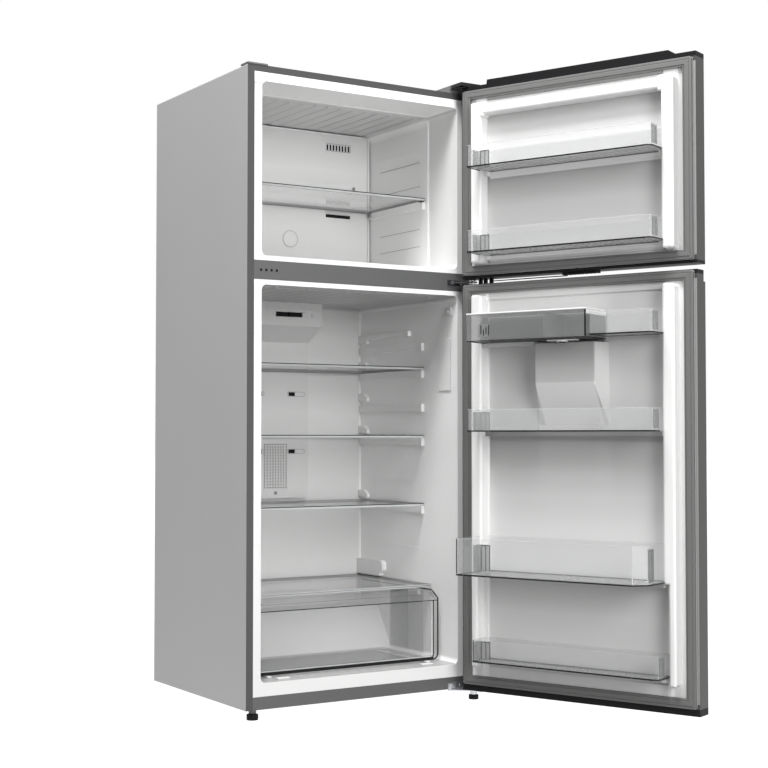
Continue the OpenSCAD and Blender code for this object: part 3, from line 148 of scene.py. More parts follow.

# ---------------------------------------------------------------- painted steel case
# The case is one sheet bent over the top and both sides, stoved in a satin grey with fine
# metallic flake. Its front rim is folded in flat, and is the same paint with painted shade on it.


def grain_group():
    """Slow drift of tone, fine grain in the gloss, and a height for the bump."""
    group = bpy.data.node_groups.new("moulded_grain", "ShaderNodeTree")
    face = group.interface
    face.new_socket("Color", in_out="INPUT", socket_type="NodeSocketColor")
    for name in ("Drift", "Gloss drift", "Roughness", "Drift scale", "Grain scale"):
        face.new_socket(name, in_out="INPUT", socket_type="NodeSocketFloat")
    face.new_socket("Color", in_out="OUTPUT", socket_type="NodeSocketColor")
    face.new_socket("Roughness", in_out="OUTPUT", socket_type="NodeSocketFloat")
    face.new_socket("Height", in_out="OUTPUT", socket_type="NodeSocketFloat")
    made, links = group.nodes, group.links
    given, result = made.new("NodeGroupInput"), made.new("NodeGroupOutput")
    place = made.new("ShaderNodeTexCoord")
    slow, fine = made.new("ShaderNodeTexNoise"), made.new("ShaderNodeTexNoise")
    for noise, scale in ((slow, "Drift scale"), (fine, "Grain scale")):
        links.new(place.outputs["Object"], noise.inputs["Vector"])
        links.new(given.outputs[scale], noise.inputs["Scale"])
    slow.inputs["Detail"].default_value = 3
    fine.inputs["Detail"].default_value = 1

    def around(noise, amount, middle):
        """middle + (noise - 0.5) * amount"""
        shift = made.new("ShaderNodeMath")
        shift.operation = "SUBTRACT"
        shift.inputs[1].default_value = 0.5
        links.new(noise.outputs["Fac"], shift.inputs[0])
        scaled = made.new("ShaderNodeMath")
        scaled.operation = "MULTIPLY_ADD"
        links.new(shift.outputs[0], scaled.inputs[0])
        links.new(given.outputs[amount], scaled.inputs[1])
        if isinstance(middle, str):
            links.new(given.outputs[middle], scaled.inputs[2])
        else:
            scaled.inputs[2].default_value = middle
        return scaled.outputs[0]

    tone = made.new("ShaderNodeHueSaturation")
    links.new(given.outputs["Color"], tone.inputs["Color"])
    links.new(around(slow, "Drift", 1.0), tone.inputs["Value"])
    links.new(tone.outputs["Color"], result.inputs["Color"])
    links.new(around(fine, "Gloss drift", "Roughness"), result.inputs["Roughness"])
    links.new(fine.outputs["Fac"], result.inputs["Height"])
    return group


grain = grain_group()


def surface(name, color, roughness, metal=0.0, drift=0.06, grain_scale=900.0, drift_scale=3.0,
            gloss_drift=0.08, bump=0.04, coat=0.0, see_through=0.0, ior=1.46, alpha=1.0,
            shine=0.5):
    """A finish on the shared grain, with its own values."""
    look = bpy.data.materials.new(name)
    look.use_nodes = True
    made, links = look.node_tree.nodes, look.node_tree.links
    shader = made["Principled BSDF"]
    pattern = made.new("ShaderNodeGroup")
    pattern.node_tree = grain
    pattern.inputs["Color"].default_value = (*color, 1)
    pattern.inputs["Drift"].default_value = drift
    pattern.inputs["Gloss drift"].default_value = gloss_drift
    pattern.inputs["Roughness"].default_value = roughness
    pattern.inputs["Drift scale"].default_value = drift_scale
    pattern.inputs["Grain scale"].default_value = grain_scale
    relief = made.new("ShaderNodeBump")
    relief.inputs["Strength"].default_value = bump
    relief.inputs["Distance"].default_value = 0.0004
    links.new(pattern.outputs["Color"], shader.inputs["Base Color"])
    links.new(pattern.outputs["Roughness"], shader.inputs["Roughness"])
    links.new(pattern.outputs["Height"], relief.inputs["Height"])
    links.new(relief.outputs["Normal"], shader.inputs["Normal"])
    shader.inputs["Metallic"].default_value = metal
    shader.inputs["Coat Weight"].default_value = coat
    shader.inputs["Coat Roughness"].default_value = 0.12
    shader.inputs["Transmission Weight"].default_value = see_through
    shader.inputs["IOR"].default_value = ior
    shader.inputs["Alpha"].default_value = alpha
    shader.inputs["Specular IOR Level"].default_value = shine
    return look


def second_color(look, source, direction, start, end, color, within=()):
    """Blends to another colour as a coordinate passes from start to end along a direction.

    Each of within is a further (direction, start, end) that limits where it does so.
    """
    made, links = look.node_tree.nodes, look.node_tree.links
    place = made.new("ShaderNodeTexCoord")
    share = None
    for way, start, end in ((direction, start, end), *within):
        along, near = made.new("ShaderNodeVectorMath"), made.new("ShaderNodeMapRange")
        along.operation = "DOT_PRODUCT"
        along.inputs[1].default_value = way
        links.new(place.outputs[source], along.inputs[0])
        links.new(along.outputs["Value"], near.inputs["Value"])
        near.inputs["From Min"].default_value = start
        near.inputs["From Max"].default_value = end
        if share is None:
            share = near.outputs[0]
        else:
            both = made.new("ShaderNodeMath")
            both.operation = "MULTIPLY"
            links.new(share, both.inputs[0])
            links.new(near.outputs[0], both.inputs[1])
            share = both.outputs[0]
    mix = made.new("ShaderNodeMix")
    mix.data_type = "RGBA"
    links.new(share, mix.inputs["Factor"])
    shader = made["Principled BSDF"]
    links.new(shader.inputs["Base Color"].links[0].from_socket, mix.inputs["A"])
    mix.inputs["B"].default_value = (*color, 1)
    links.new(mix.outputs["Result"], shader.inputs["Base Color"])


def dress(look, *names):
    """Puts a finish on CAD nodes."""
    for name in names:
        mesh = nodes[name].data
        mesh.materials.clear()
        mesh.materials.append(look)


def soften(width, *names):
    """Rounds the edges of CAD nodes by modifiers."""
    for name in names:
        joined = nodes[name].modifiers.new("joined", "WELD")
        joined.merge_threshold = 0.00001
        edge = nodes[name].modifiers.new("edge", "BEVEL")
        edge.width = width
        edge.segments = 2
        edge.limit_method = "ANGLE"
        edge.angle_limit = math.radians(35)
        edge.harden_normals = False


FORWARD, BACK, RIGHT, UP, DOWN = (0, -1, 0), (0, 1, 0), (1, 0, 0), (0, 0, 1), (0, 0, -1)
case_paint = surface("case_paint", (0.56, 0.56, 0.562), 0.42, metal=0.2, drift=0.05,
                     grain_scale=1600, gloss_drift=0.12, bump=0.05, shine=0.3)
# The case's paint in painted shade, for the base pan and the rail between the compartments
rim_paint = surface("rim_paint", (0.105, 0.105, 0.107), 0.45, metal=0.2, drift=0.04,
                    grain_scale=1600, bump=0.05)
# Painted shade on the faces that look forward, as on the folded front rim
second_color(case_paint, "Normal", FORWARD, 0.7, 0.9, (0.075, 0.075, 0.077))
dress(case_paint, "case_shell")
dress(rim_paint, "base_pan", "mullion_rail")
soften(0.0004, "case_shell", "base_pan")

# ---------------------------------------------------------------- back, foam and machine bay
# Plain galvanised sheet closes the back. Foam fills the walls. Below it, a slotted cover
# hides the black enamelled compressor on its rubber mounts, with a tray for the drain.

galvanised = surface("galvanised_sheet", (0.52, 0.53, 0.54), 0.42, metal=0.85, drift=0.2,
                     drift_scale=40, grain_scale=300, bump=0.03)
foam_look = surface("closed_cell_foam", (0.80, 0.70, 0.42), 0.9, drift=0.15, grain_scale=260,
                    bump=0.4)
dark_paint = surface("dark_paint", (0.06, 0.06, 0.065), 0.55, metal=0.1, grain_scale=700)
enamel = surface("black_enamel", (0.02, 0.02, 0.022), 0.28, coat=0.4)
dress(galvanised, "back_panel")
dress(foam_look, "foam_insulation", "freezer_door_foam", "fridge_door_foam")
dress(dark_paint, "rear_cover", "compressor_mounts")
dress(enamel, "compressor")

# ---------------------------------------------------------------- hinges and roller brackets
# Pressed steel, zinc plated and screwed to the case. The middle hinge shows between the
# doors, and is enamelled black.

zinc = surface("zinc_plate", (0.55, 0.56, 0.58), 0.32, metal=0.95, drift=0.12, drift_scale=60)
dress(zinc, "top_hinge", "bottom_hinge", "roller_brackets")
dress(enamel, "middle_hinge")

# ---------------------------------------------------------------- compartment liners
# Each compartment is one white sheet drawn over a mould, so its corners are round and its
# surface has a soft sheen. Painted shade darkens the ceilings, the freezer's right wall and the
# fridge's back wall and floor, and painted light brightens the freezer's collar and the fridge's
# right wall.

freezer_white = surface("freezer_white", (0.88, 0.88, 0.875), 0.36, drift=0.02, grain_scale=500,
                        bump=0.05, gloss_drift=0.05)
for direction, start, end, color in (
        (UP, 1.6320, 1.6365, (0.60, 0.60, 0.596)),          # ribbed ceiling, in painted shade
        (UP, 1.6415, 1.6435, (0.93, 0.93, 0.925)),          # collar in front of it, in painted light
        (RIGHT, 0.1745, 0.1765, (0.74, 0.74, 0.736))):      # right wall, in painted shade
    second_color(freezer_white, "Object", direction, start, end, color)
fridge_white = surface("fridge_white", (0.87, 0.87, 0.865), 0.36, drift=0.02, grain_scale=500,
                       bump=0.05, gloss_drift=0.05)
for direction, start, end, color in (
        (BACK, 0.5630, 0.5690, (0.76, 0.76, 0.756)),        # back wall, in painted shade
        (RIGHT, 0.1690, 0.1750, (0.95, 0.95, 0.945)),       # right wall, in painted light
        (UP, 1.1040, 1.1120, (0.52, 0.52, 0.517)),          # ceiling, in painted shade
        (DOWN, -0.0950, -0.0935, (0.42, 0.42, 0.418)),      # floor, in painted shade
        (FORWARD, -0.0580, -0.0555, (0.87, 0.87, 0.865))):  # front edge, all round
    second_color(fridge_white, "Object", direction, start, end, color)
dress(freezer_white, "freezer_liner")
dress(fridge_white, "fridge_liner")
soften(0.0008, "freezer_liner", "fridge_liner")

# ---------------------------------------------------------------- air duct, evaporator cover
# Both are fine matt mouldings clipped over the back walls, with the fan and the fin block of
# the evaporator behind the upper one.

cover_white = surface("cover_white", (0.77, 0.77, 0.766), 0.5, drift=0.02, grain_scale=1400,
                      bump=0.12)
# The duct's white is darker, as painted shade
duct_white_painted_shade = surface("duct_white_painted_shade", (0.69, 0.69, 0.686), 0.5, drift=0.02, grain_scale=1400,
                     bump=0.12)
fins = surface("bare_aluminium", (0.7, 0.71, 0.72), 0.35, metal=1.0)
dress(cover_white, "evaporator_cover", "evaporator_fan")
dress(duct_white_painted_shade, "air_duct")
dress(fins, "evaporator_coil")

# ---------------------------------------------------------------- door liners
# The doors' inner sheets are the same white. The sunk fields between the raised bars carry
# painted shade, with painted shadow under each bin, and the front of the bulge, which holds the
# dispenser's recess, carries painted light and shade.

CASE_MIDDLE = -0.1305  # along X


def joint_named(name):
    """A joint's entry in the frame."""
    return next(joint for joint in frame["joints"] if joint["name"] == name)


def swing(name):
    """Turns a door from its closed place to its open one."""
    joint = joint_named(name)
    axis = Vector(joint["pos_m"])
    turn = Matrix.Rotation(math.radians(-joint["range_deg"][0]), 4, "Z")
    return Matrix.Translation(axis) @ turn @ Matrix.Translation(-axis)


def foot_of(name):
    """Height of a node's lowest point."""
    return min(v.co.z for v in nodes[name].data.vertices)


def below(height, blur=0.002):
    """A limit for second_color: under a height."""
    return DOWN, -height - blur, -height


def between(direction, low, high, blur):
    """Two limits for second_color: from low to high along a direction."""
    return ((direction, low - blur, low), ([-v for v in direction], -high - blur, -high))


def painted_shadow_under_bin(look, foot, reach, tone, limits):
    """Paints shadow on a field, darker upwards to the foot of the bin above it."""
    second_color(look, "Object", UP, foot - reach, foot, tone, within=(*limits, below(foot)))


turns = {"freezer_door": swing("freezer_door_swing"), "fridge_door": swing("fridge_door_swing")}
# Painted shade of the sunk fields
field_painted_shade = (0.64, 0.64, 0.637)
bar_white = (0.87, 0.87, 0.865)
for door in turns:
    look = surface(door + "_liner_white", bar_white, 0.36, drift=0.02, grain_scale=500,
                   bump=0.05, gloss_drift=0.05)
    closed = turns[door].inverted()
    across, depth = closed[0][:3], closed[1][:3]
    middle = CASE_MIDDLE - closed[0][3]
    if door == "freezer_door":
        # The sunk field is all that lies less deep than this, with the door closed
        pan = 0.0398 - closed[1][3]
        sunk = (depth, pan, pan - 0.0015)
        # Painted shade over the sunk field, and painted shadow under the upper bin
        second_color(look, "Object", *sunk, field_painted_shade)
        painted_shadow_under_bin(look, foot_of("freezer_bin_upper"), 0.10, (0.46, 0.46, 0.457), (sunk,))
        # Painted light between the top bar and the upper bin, and painted shade on the outer lands
        # beyond the bars
        second_color(look, "Object", UP, 1.602, 1.545, (0.77, 0.77, 0.766),
                     within=(sunk, (UP, 1.509, 1.513)))
        for side in (-1, 1):
            land = side * middle + 0.3010
            second_color(look, "Object", [side * v for v in across], land, land + 0.0015,
                         (0.62, 0.62, 0.617))
    else:
        can_foot, tank_foot = foot_of("can_bin"), foot_of("water_tank")
        # Painted shade over the field between the bars, less of it well below the can bin, and
        # painted shadow under the can bin and the bottle bin
        second_color(look, "Object", across, middle + 0.264, middle + 0.262, field_painted_shade)
        field = between(across, middle - 0.262, middle + 0.262, 0.001)
        second_color(look, "Object", UP, can_foot - 0.10, can_foot - 0.25, (0.76, 0.76, 0.756),
                     within=(*field, below(can_foot)))
        painted_shadow_under_bin(look, can_foot, 0.17, (0.25, 0.25, 0.248), field)
        painted_shadow_under_bin(look, foot_of("bottle_bin"), 0.10, (0.50, 0.50, 0.497), field)
        # Painted light and shade on the bulge's front: light on its slope, then shade from the
        # crease up its upright face, darkest under the tank
        front = (*between(across, middle - 0.0865, middle + 0.0865, 0.0015),
                 below(tank_foot + 0.02, 0.04))
        crease = can_foot + 0.129
        for start, end, color in (
                (can_foot + 0.016, can_foot + 0.018, (0.88, 0.88, 0.875)),
                (crease - 0.0006, crease + 0.0006, (0.53, 0.53, 0.527)),
                (crease, tank_foot, (0.37, 0.37, 0.368))):
            second_color(look, "Object", UP, start, end, color, within=front)
        second_color(look, "Object", across, middle - 0.262, middle - 0.264, bar_white)
    dress(look, door + "_liner")

# ---------------------------------------------------------------- door skins, end caps, seals
# Grey steel skins are folded round the foam and closed with black end caps. The vinyl
# gaskets push into a groove of the liner.

door_paint = surface("door_paint", (0.070, 0.070, 0.068), 0.42, metal=0.2, drift=0.04,
                     grain_scale=1600, bump=0.05, shine=0.3)
black = surface("black_plastic", (0.010, 0.010, 0.011), 0.5, grain_scale=1200, bump=0.15,
                shine=0.12)
seal = surface("gasket_vinyl", (0.145, 0.145, 0.143), 0.6, grain_scale=800, bump=0.08)
dress(door_paint, "freezer_door_skin", "fridge_door_skin")
dress(black, "freezer_door_caps", "fridge_door_caps")
dress(seal, "freezer_door_gasket", "fridge_door_gasket")

# ---------------------------------------------------------------- hinge covers and running gear
# The cap over the top hinge and the one on the other front corner are grey, with a black
# front. Feet, rollers, fan motor, drain tray and the vent's slider are plain black mouldings.

cap_grey = surface("cover_grey", (0.16, 0.16, 0.162), 0.5, grain_scale=1200, bump=0.12, shine=0.3)
second_color(cap_grey, "Object", FORWARD, -0.052, -0.047, (0.010, 0.010, 0.011))
dress(cap_grey, "hinge_covers")
dress(black, "left_foot", "right_foot", "left_roller", "right_roller", "drain_tray",
      "fan_motor", "air_slider")

# ---------------------------------------------------------------- water dispenser
# A grey moulded recess in the outer face of the door, with a black paddle that opens the
# valve of the tank.

grey_plastic = surface("grey_plastic", (0.09, 0.09, 0.095), 0.45, grain_scale=1200, bump=0.12)
dress(grey_plastic, "dispenser_housing")
dress(black, "dispenser_lever")

# ---------------------------------------------------------------- shelves
# Plates of toughened glass, each held in a moulded grey frame that slides on the liner's
# rails. The plate over the crisper drawer is made in the same way, and stays in its place.

glass = surface("shelf_glass", (0.93, 0.945, 0.94), 0.03, see_through=1.0, ior=1.5, bump=0.0,
                gloss_drift=0.0, alpha=0.35)
trim_grey = surface("shelf_trim", (0.34, 0.345, 0.345), 0.3, bump=0.03, alpha=0.85)
shelves = ("freezer_shelf", "lower_shelf", "middle_shelf", "upper_shelf", "crisper_cover")
for shelf in shelves:
    dress(glass, shelf + "_glass")
    dress(trim_grey, shelf + "_trim")

# ---------------------------------------------------------------- lamp and door switch
# The lamp's frosted lens clips into the right wall of the fridge compartment. Above it is a
# white switch, whose plunger the closed door pushes in.

lens = surface("lamp_lens", (0.87, 0.87, 0.865), 0.36, drift=0.02, bump=0.03)
# Painted shade on the lens's faces that look forward
second_color(lens, "Normal", FORWARD, 0.7, 0.9, (0.45, 0.45, 0.448))
dress(lens, "lamp_cover")
dress(cover_white, "door_switch", "switch_plunger")

# ---------------------------------------------------------------- door bins
# Each bin is one thin moulding in clear plastic: a tray with a thick foot that looks dark
# edge on, and a smoky hook plate in each end that hangs over the lugs of the liner.

clear = surface("clear_plastic", (0.64, 0.65, 0.65), 0.08, bump=0.0, gloss_drift=0.02, alpha=0.10)
smoke = surface("smoke_plastic", (0.30, 0.305, 0.305), 0.12, bump=0.0, gloss_drift=0.02, alpha=0.55)
edge_dark = surface("clear_edge", (0.02, 0.021, 0.021), 0.15, bump=0.0, gloss_drift=0.02,
                    alpha=0.92, shine=0.2)
edge_pale = surface("pale_edge", (0.85, 0.86, 0.86), 0.15, bump=0.0, gloss_drift=0.02, alpha=0.55)
CLEAR, EDGE, SMOKE, PALE, BLACK = range(5)


def shut_box(node, door):
    """(lowest corner, highest corner) of a door's node, with the door closed."""
    back = turns[door].inverted()
    places = [back @ v.co for v in nodes[node].data.vertices]
    return (Vector([min(p[i] for p in places) for i in range(3)]),
            Vector([max(p[i] for p in places) for i in range(3)]))


def brick(shape, low, high, look=0, round_by=0.0):
    """Adds a box between two corners, and returns its vertices."""
    middle = (Vector(low) + Vector(high)) / 2
    size = Vector(high) - Vector(low)
    place = Matrix.Translation(middle) @ Matrix.Diagonal((*size, 1))
    made = bmesh.ops.create_cube(shape, size=1, matrix=place)["verts"]
    for face in {f for v in made for f in v.link_faces}:
        face.material_index = look
    if round_by:
        edges = list({e for v in made for e in v.link_edges})
        bmesh.ops.bevel(shape, geom=edges, offset=round_by, segments=2, profile=0.5,
                        affect="EDGES", material=-1, clamp_overlap=True)
    return made


def turned_brick(shape, low, high, look, angle, x, y):
    """Adds a box drawn about the origin, turned in plan and moved to a place."""
    made = brick(shape, low, high, look)
    place = Matrix.Translation((x, y, 0)) @ Matrix.Rotation(angle, 4, "Z")
    bmesh.ops.transform(shape, matrix=place, verts=made)


def open_box(shape, low, high, wall, corner, look=0, floor=True, segments=5, hinge_corner=None):
    """Adds a thin-walled box without a lid, its corners away from the door rounded in plan.

    hinge_corner is their size at the hinge end, where it differs from corner.
    """
    made = brick(shape, low, high, look)
    faces = {f for v in made for f in v.link_faces}
    before = set(shape.faces) - faces
    tall = [e for e in {e for v in made for e in v.link_edges}
            if abs(e.verts[0].co.z - e.verts[1].co.z) > 0.5 * (high[2] - low[2])
            and e.verts[0].co.y > (low[1] + high[1]) / 2]
    middle = (low[0] + high[0]) / 2
    free_end = [e for e in tall if e.verts[0].co.x < middle]
    hinge_end = [e for e in tall if e.verts[0].co.x > middle]
    for edges, offset in ((free_end, corner), (hinge_end, hinge_corner or corner)):
        bmesh.ops.bevel(shape, geom=edges, offset=offset, segments=segments, profile=0.5,
                        affect="EDGES", material=-1, clamp_overlap=True)
    skin = [f for f in shape.faces if f not in before]
    drop = [f for f in skin if f.normal.z > 0.9 or (not floor and f.normal.z < -0.9)]
    bmesh.ops.delete(shape, geom=drop, context="FACES_ONLY")
    skin = [f for f in skin if f.is_valid]
    bmesh.ops.recalc_face_normals(shape, faces=skin)
    bmesh.ops.solidify(shape, geom=skin, thickness=wall)


def finish_piece(name, shape, looks, body, slot, *stands_for, turn=None):
    """Makes the object, in its place in the row frame, and ties it to its body. slot is not used."""
    if turn is not None:
        bmesh.ops.transform(shape, matrix=turn, verts=shape.verts)
    bmesh.ops.recalc_face_normals(shape, faces=shape.faces)
    mesh = bpy.data.meshes.new(name)
    shape.to_mesh(mesh)
    shape.free()
    for look in looks:
        mesh.materials.append(look)
    piece = bpy.data.objects.new(name, mesh)
    scene.collection.objects.link(piece)
    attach(piece, body)
    if stands_for:
        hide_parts(*stands_for)


def bin_hinge_end(shape, low, high, square):
    """The hook plate over the bar at the hinge end, with its ribs, and the dark end edges."""
    back = low.y + 0.044
    top = min(high.z - 0.007, low.z + 0.075)
    reach = 0.0385
    foot = low.z + 0.004
    brick(shape, (high.x - reach, back, foot), (high.x - 0.002, back + 0.002, top), SMOKE)
    brick(shape, (high.x - 0.0012, back + 0.002, foot),
          (high.x - 0.0004, high.y - 0.006, top), CLEAR)
    brick(shape, (high.x - 0.0024, back + 0.002, foot),
          (high.x - 0.0014, back + 0.026, top), SMOKE)
    brick(shape, (high.x - 0.0026, high.y - square - 0.0022, foot),
          (high.x - 0.0002, high.y - square, high.z - 0.001), EDGE)
    brick(shape, (high.x - 0.0030, back + 0.004, low.z + 0.0001),
          (high.x, high.y - square, low.z + 0.0030), BLACK)
    for x in (reach, 0.026, 0.012):
        brick(shape, (high.x - x - 0.0006, back + 0.002, low.z + 0.006),
              (high.x - x + 0.0006, back + 0.004, top), EDGE)
    brick(shape, (high.x - reach, back + 0.002, top - 0.002),
          (high.x - 0.012, back + 0.004, top), EDGE)


def bin_free_end(shape, low, high, near, far):
    """The slotted plate in the end wall at the free end, from near to far in depth."""
    top = min(high.z - 0.004, low.z + 0.090)
    inner, ribs = low.x + 0.0036, low.x + 0.005
    brick(shape, (low.x + 0.0018, near, low.z + 0.008), (inner, far, top), SMOKE)
    for y in (near, near + 0.006, far - 0.006):
        brick(shape, (inner, y, low.z + 0.010), (ribs, y + 0.0026, top - 0.004), EDGE)
    brick(shape, (inner, near + 0.006, top - 0.006), (ribs, far - 0.0046, top - 0.004), EDGE)
    brick(shape, (inner, far - 0.002, low.z + 0.004), (ribs, far, top + 0.002), PALE)


def door_bin(node, door, body, corner, hatch=False, ends=(True, True), bulge=None):
    """One bin, drawn with the door closed, where Y grows from the door into the fridge.

    corner is its free end's corner, cut straight where it is large. ends says whether the
    free end and the hinge end have their hook plates. bulge is (half width, front) of the
    door's bulge that stands in the bin: the tray is in front of it, with a pocket each side.
    """
    low, high = shut_box(node, door)
    wall, foot_wall, foot = 0.0016, 0.0030, 0.0034
    square = 0.004  # corner at the hinge end
    chamfer = corner > 0.02
    rounds = 1 if chamfer else 5
    half, back = bulge or (0, low.y)
    shape = bmesh.new()
    open_box(shape, (low.x, back, low.z + foot), high, wall, corner, CLEAR, segments=rounds,
             hinge_corner=square)
    open_box(shape, (low.x, back, low.z), (high.x, high.y, low.z + foot), foot_wall, corner, EDGE,
             floor=False, segments=rounds, hinge_corner=square)
    if bulge:
        for x0, x1 in ((low.x, CASE_MIDDLE - half), (CASE_MIDDLE + half, high.x)):
            open_box(shape, (x0, low.y, low.z + 0.0004), (x1, back, high.z), wall, 0.001,
                     segments=1)
    if chamfer:
        # Painted highlight down the cut corner, and the black foot line along it
        x = low.x + corner
        brick(shape, (x - 0.001, high.y - 0.0032, low.z + foot),
              (x + 0.001, high.y - 0.0017, high.z), PALE)
        turned_brick(shape, (-0.707 * corner, -0.0032, low.z + 0.0001),
                     (0.707 * corner, 0.0004, low.z + 0.0030), BLACK, math.pi / 4,
                     low.x + corner / 2, high.y - corner / 2)
    # Pale top edge, smoky floor and black line along the foot
    brick(shape, (low.x + corner, high.y - 0.0018, high.z - 0.0014),
          (high.x - square, high.y - 0.0002, high.z - 0.0002), PALE)
    brick(shape, (low.x + 0.003, back + 0.003, low.z + 0.0006),
          (high.x - 0.003, high.y - corner, low.z + 0.0018), SMOKE)
    brick(shape, (low.x + corner, high.y - 0.0030, low.z - 0.0002),
          (high.x - square, high.y + 0.0004, low.z + 0.0030), BLACK)
    if ends[1]:
        bin_hinge_end(shape, low, high, square)
    if ends[0]:
        away = corner + 0.004 if chamfer else 0.010
        bin_free_end(shape, low, high, high.y - away - 0.030, high.y - away)
    if hatch:
        # Crossed ribs in the floor
        count = 30
        pitch = (high.x - low.x - 0.03) / count
        span = high.y - low.y - 0.012
        lean = math.atan2(pitch, span)
        for k in range(count):
            for angle in (-lean, lean):
                turned_brick(shape, (-0.0006, -span / 2, low.z + 0.0001),
                             (0.0006, span / 2, low.z + 0.0005), SMOKE, angle,
                             low.x + 0.015 + (k + 0.5) * pitch, (low.y + high.y) / 2)
    if bulge:
        brick(shape, (CASE_MIDDLE - half, back - 0.0004, low.z + 0.0004),
              (CASE_MIDDLE + half, back + 0.0012, low.z + 0.0030), EDGE)
    finish_piece(node + "_moulding", shape, (clear, edge_dark, smoke, edge_pale, black), body,
                 "clear_bin", node, turn=turns[door])


door_bin("freezer_bin_upper", "freezer_door", "upper_freezer_bin", 0.016, hatch=True)
door_bin("freezer_bin_lower", "freezer_door", "lower_freezer_bin", 0.016, hatch=True)
door_bin("top_bin", "fridge_door", "small_top_bin", 0.012, ends=(True, False))
door_bin("can_bin", "fridge_door", "cans_bin", 0.016, bulge=(0.105, 0.0983))
door_bin("bottle_bin", "fridge_door", "bottles_bin", 0.030)
door_bin("jar_bin", "fridge_door", "jars_bin", 0.016)

# ---------------------------------------------------------------- water tank
# A smoky clear box under a white lid, beside the small top bin. A pale plate under its floor
# holds the valve that fills a glass in the dispenser below.

tank_smoke = surface("tank_smoke", (0.34, 0.345, 0.345), 0.08, bump=0.0, alpha=0.26)
lid_pale = surface("lid_pale", (0.86, 0.865, 0.86), 0.25, bump=0.0)


def drum(shape, place, r, depth, look=0, segments=28, forward=False):
    """Adds a round plate about a point, its axis upright or, if forward, along Y."""
    turn = Matrix.Rotation(math.radians(90), 4, "X") if forward else Matrix.Identity(4)
    made = bmesh.ops.create_cone(shape, cap_ends=True, segments=segments, radius1=r, radius2=r,
                                 depth=depth, matrix=Matrix.Translation(place) @ turn)
    for face in {f for v in made["verts"] for f in v.link_faces}:
        face.material_index = look


low, high = shut_box("water_tank", "fridge_door")
lid_low, lid_high = shut_box("tank_lid", "fridge_door")
rim = lid_low.z
floor_z = rim - 0.0723
wall, foot_wall, foot, corner = 0.002, 0.003, 0.0024, 0.004
shape = bmesh.new()
open_box(shape, (low.x, low.y, floor_z + foot), (high.x, high.y, rim - 0.0003), wall, corner)
open_box(shape, (low.x, low.y, floor_z), (high.x, high.y, floor_z + foot), foot_wall, corner,
         EDGE, floor=False)
# Dark corner, white strip outside the end wall, divider and white strip inside
brick(shape, (low.x - 0.0004, high.y - 0.0040, floor_z + 0.003),
      (low.x + 0.0020, high.y + 0.0004, rim - 0.002), BLACK)
brick(shape, (low.x - 0.0006, low.y + 0.002, rim - 0.0115),
      (low.x - 0.0001, high.y - 0.005, rim - 0.0006), PALE)
brick(shape, (low.x + 0.1235, low.y + 0.004, floor_z + 0.004),
      (low.x + 0.1245, high.y - 0.003, rim - 0.003), SMOKE)
brick(shape, (low.x + 0.0022, low.y + 0.004, rim - 0.012),
      (low.x + 0.0040, high.y - 0.006, rim - 0.001), PALE)
# Slotted patch of the latch on the front wall
brick(shape, (high.x - 0.076, high.y - 0.0001, floor_z + 0.012),
      (high.x - 0.040, high.y + 0.0004, floor_z + 0.046), SMOKE)
for k in range(4):
    x = high.x - 0.074 + 0.008 * k
    brick(shape, (x, high.y + 0.0004, floor_z + 0.015 + 0.004 * (k % 2)),
          (x + 0.003, high.y + 0.0008, floor_z + 0.043 - 0.006 * (k % 3)), EDGE)
# Collar and stem of the valve, and the plate that holds them
for drop, r, look in ((0.0045, 0.0150, PALE), (0.0075, 0.0070, EDGE)):
    drum(shape, (low.x + 0.094, low.y + 0.066, floor_z - drop), r, 0.004, look, segments=32)
brick(shape, (low.x + 0.052, low.y + 0.050, floor_z - 0.0035),
      (low.x + 0.136, low.y + 0.074, floor_z - 0.0005), PALE, 0.001)
finish_piece("tank_box", shape, (tank_smoke, edge_dark, smoke, lid_pale, black), "fridge_door",
             "clear_bin", "water_tank", turn=turns["fridge_door"])
# The lid, with the bar of its finger notch set in flush
shape = bmesh.new()
brick(shape, lid_low, (lid_high.x, lid_high.y - 0.001, lid_high.z), round_by=0.0012)
brick(shape, (lid_low.x + 0.15, lid_high.y - 0.03, lid_high.z - 0.0008),
      (lid_low.x + 0.19, lid_high.y - 0.022, lid_high.z - 0.0001))
finish_piece("tank_lid_plate", shape, (lid_pale,), "tank_cover", "clear_bin", "tank_lid",
             turn=turns["fridge_door"])

# ---------------------------------------------------------------- door gaskets
# Soft grey vinyl in one loop: a lip outside, a groove, the flat magnet band, a second
# groove and an inner lip.


def loop_band(shape, low, high, radius, profile, look=0):
    """A closed band round a standing rectangle, from a profile of (inset, Y)."""
    loops = []
    for inset, y in profile:
        r = max(radius - inset, 0.0008)
        ring = []
        for k, (cx, cz) in enumerate(((high[0] - inset - r, high[1] - inset - r),
                                      (low[0] + inset + r, high[1] - inset - r),
                                      (low[0] + inset + r, low[1] + inset + r),
                                      (high[0] - inset - r, low[1] + inset + r))):
            for step in range(5):
                a = math.radians(90 * k + 22.5 * step)
                ring.append(shape.verts.new((cx + r * math.cos(a), y, cz + r * math.sin(a))))
        loops.append(ring)
    count = len(loops[0])
    for a, b in zip(loops, loops[1:] + loops[:1]):
        for i in range(count):
            face = shape.faces.new((a[i], a[(i + 1) % count], b[(i + 1) % count], b[i]))
            face.material_index = look


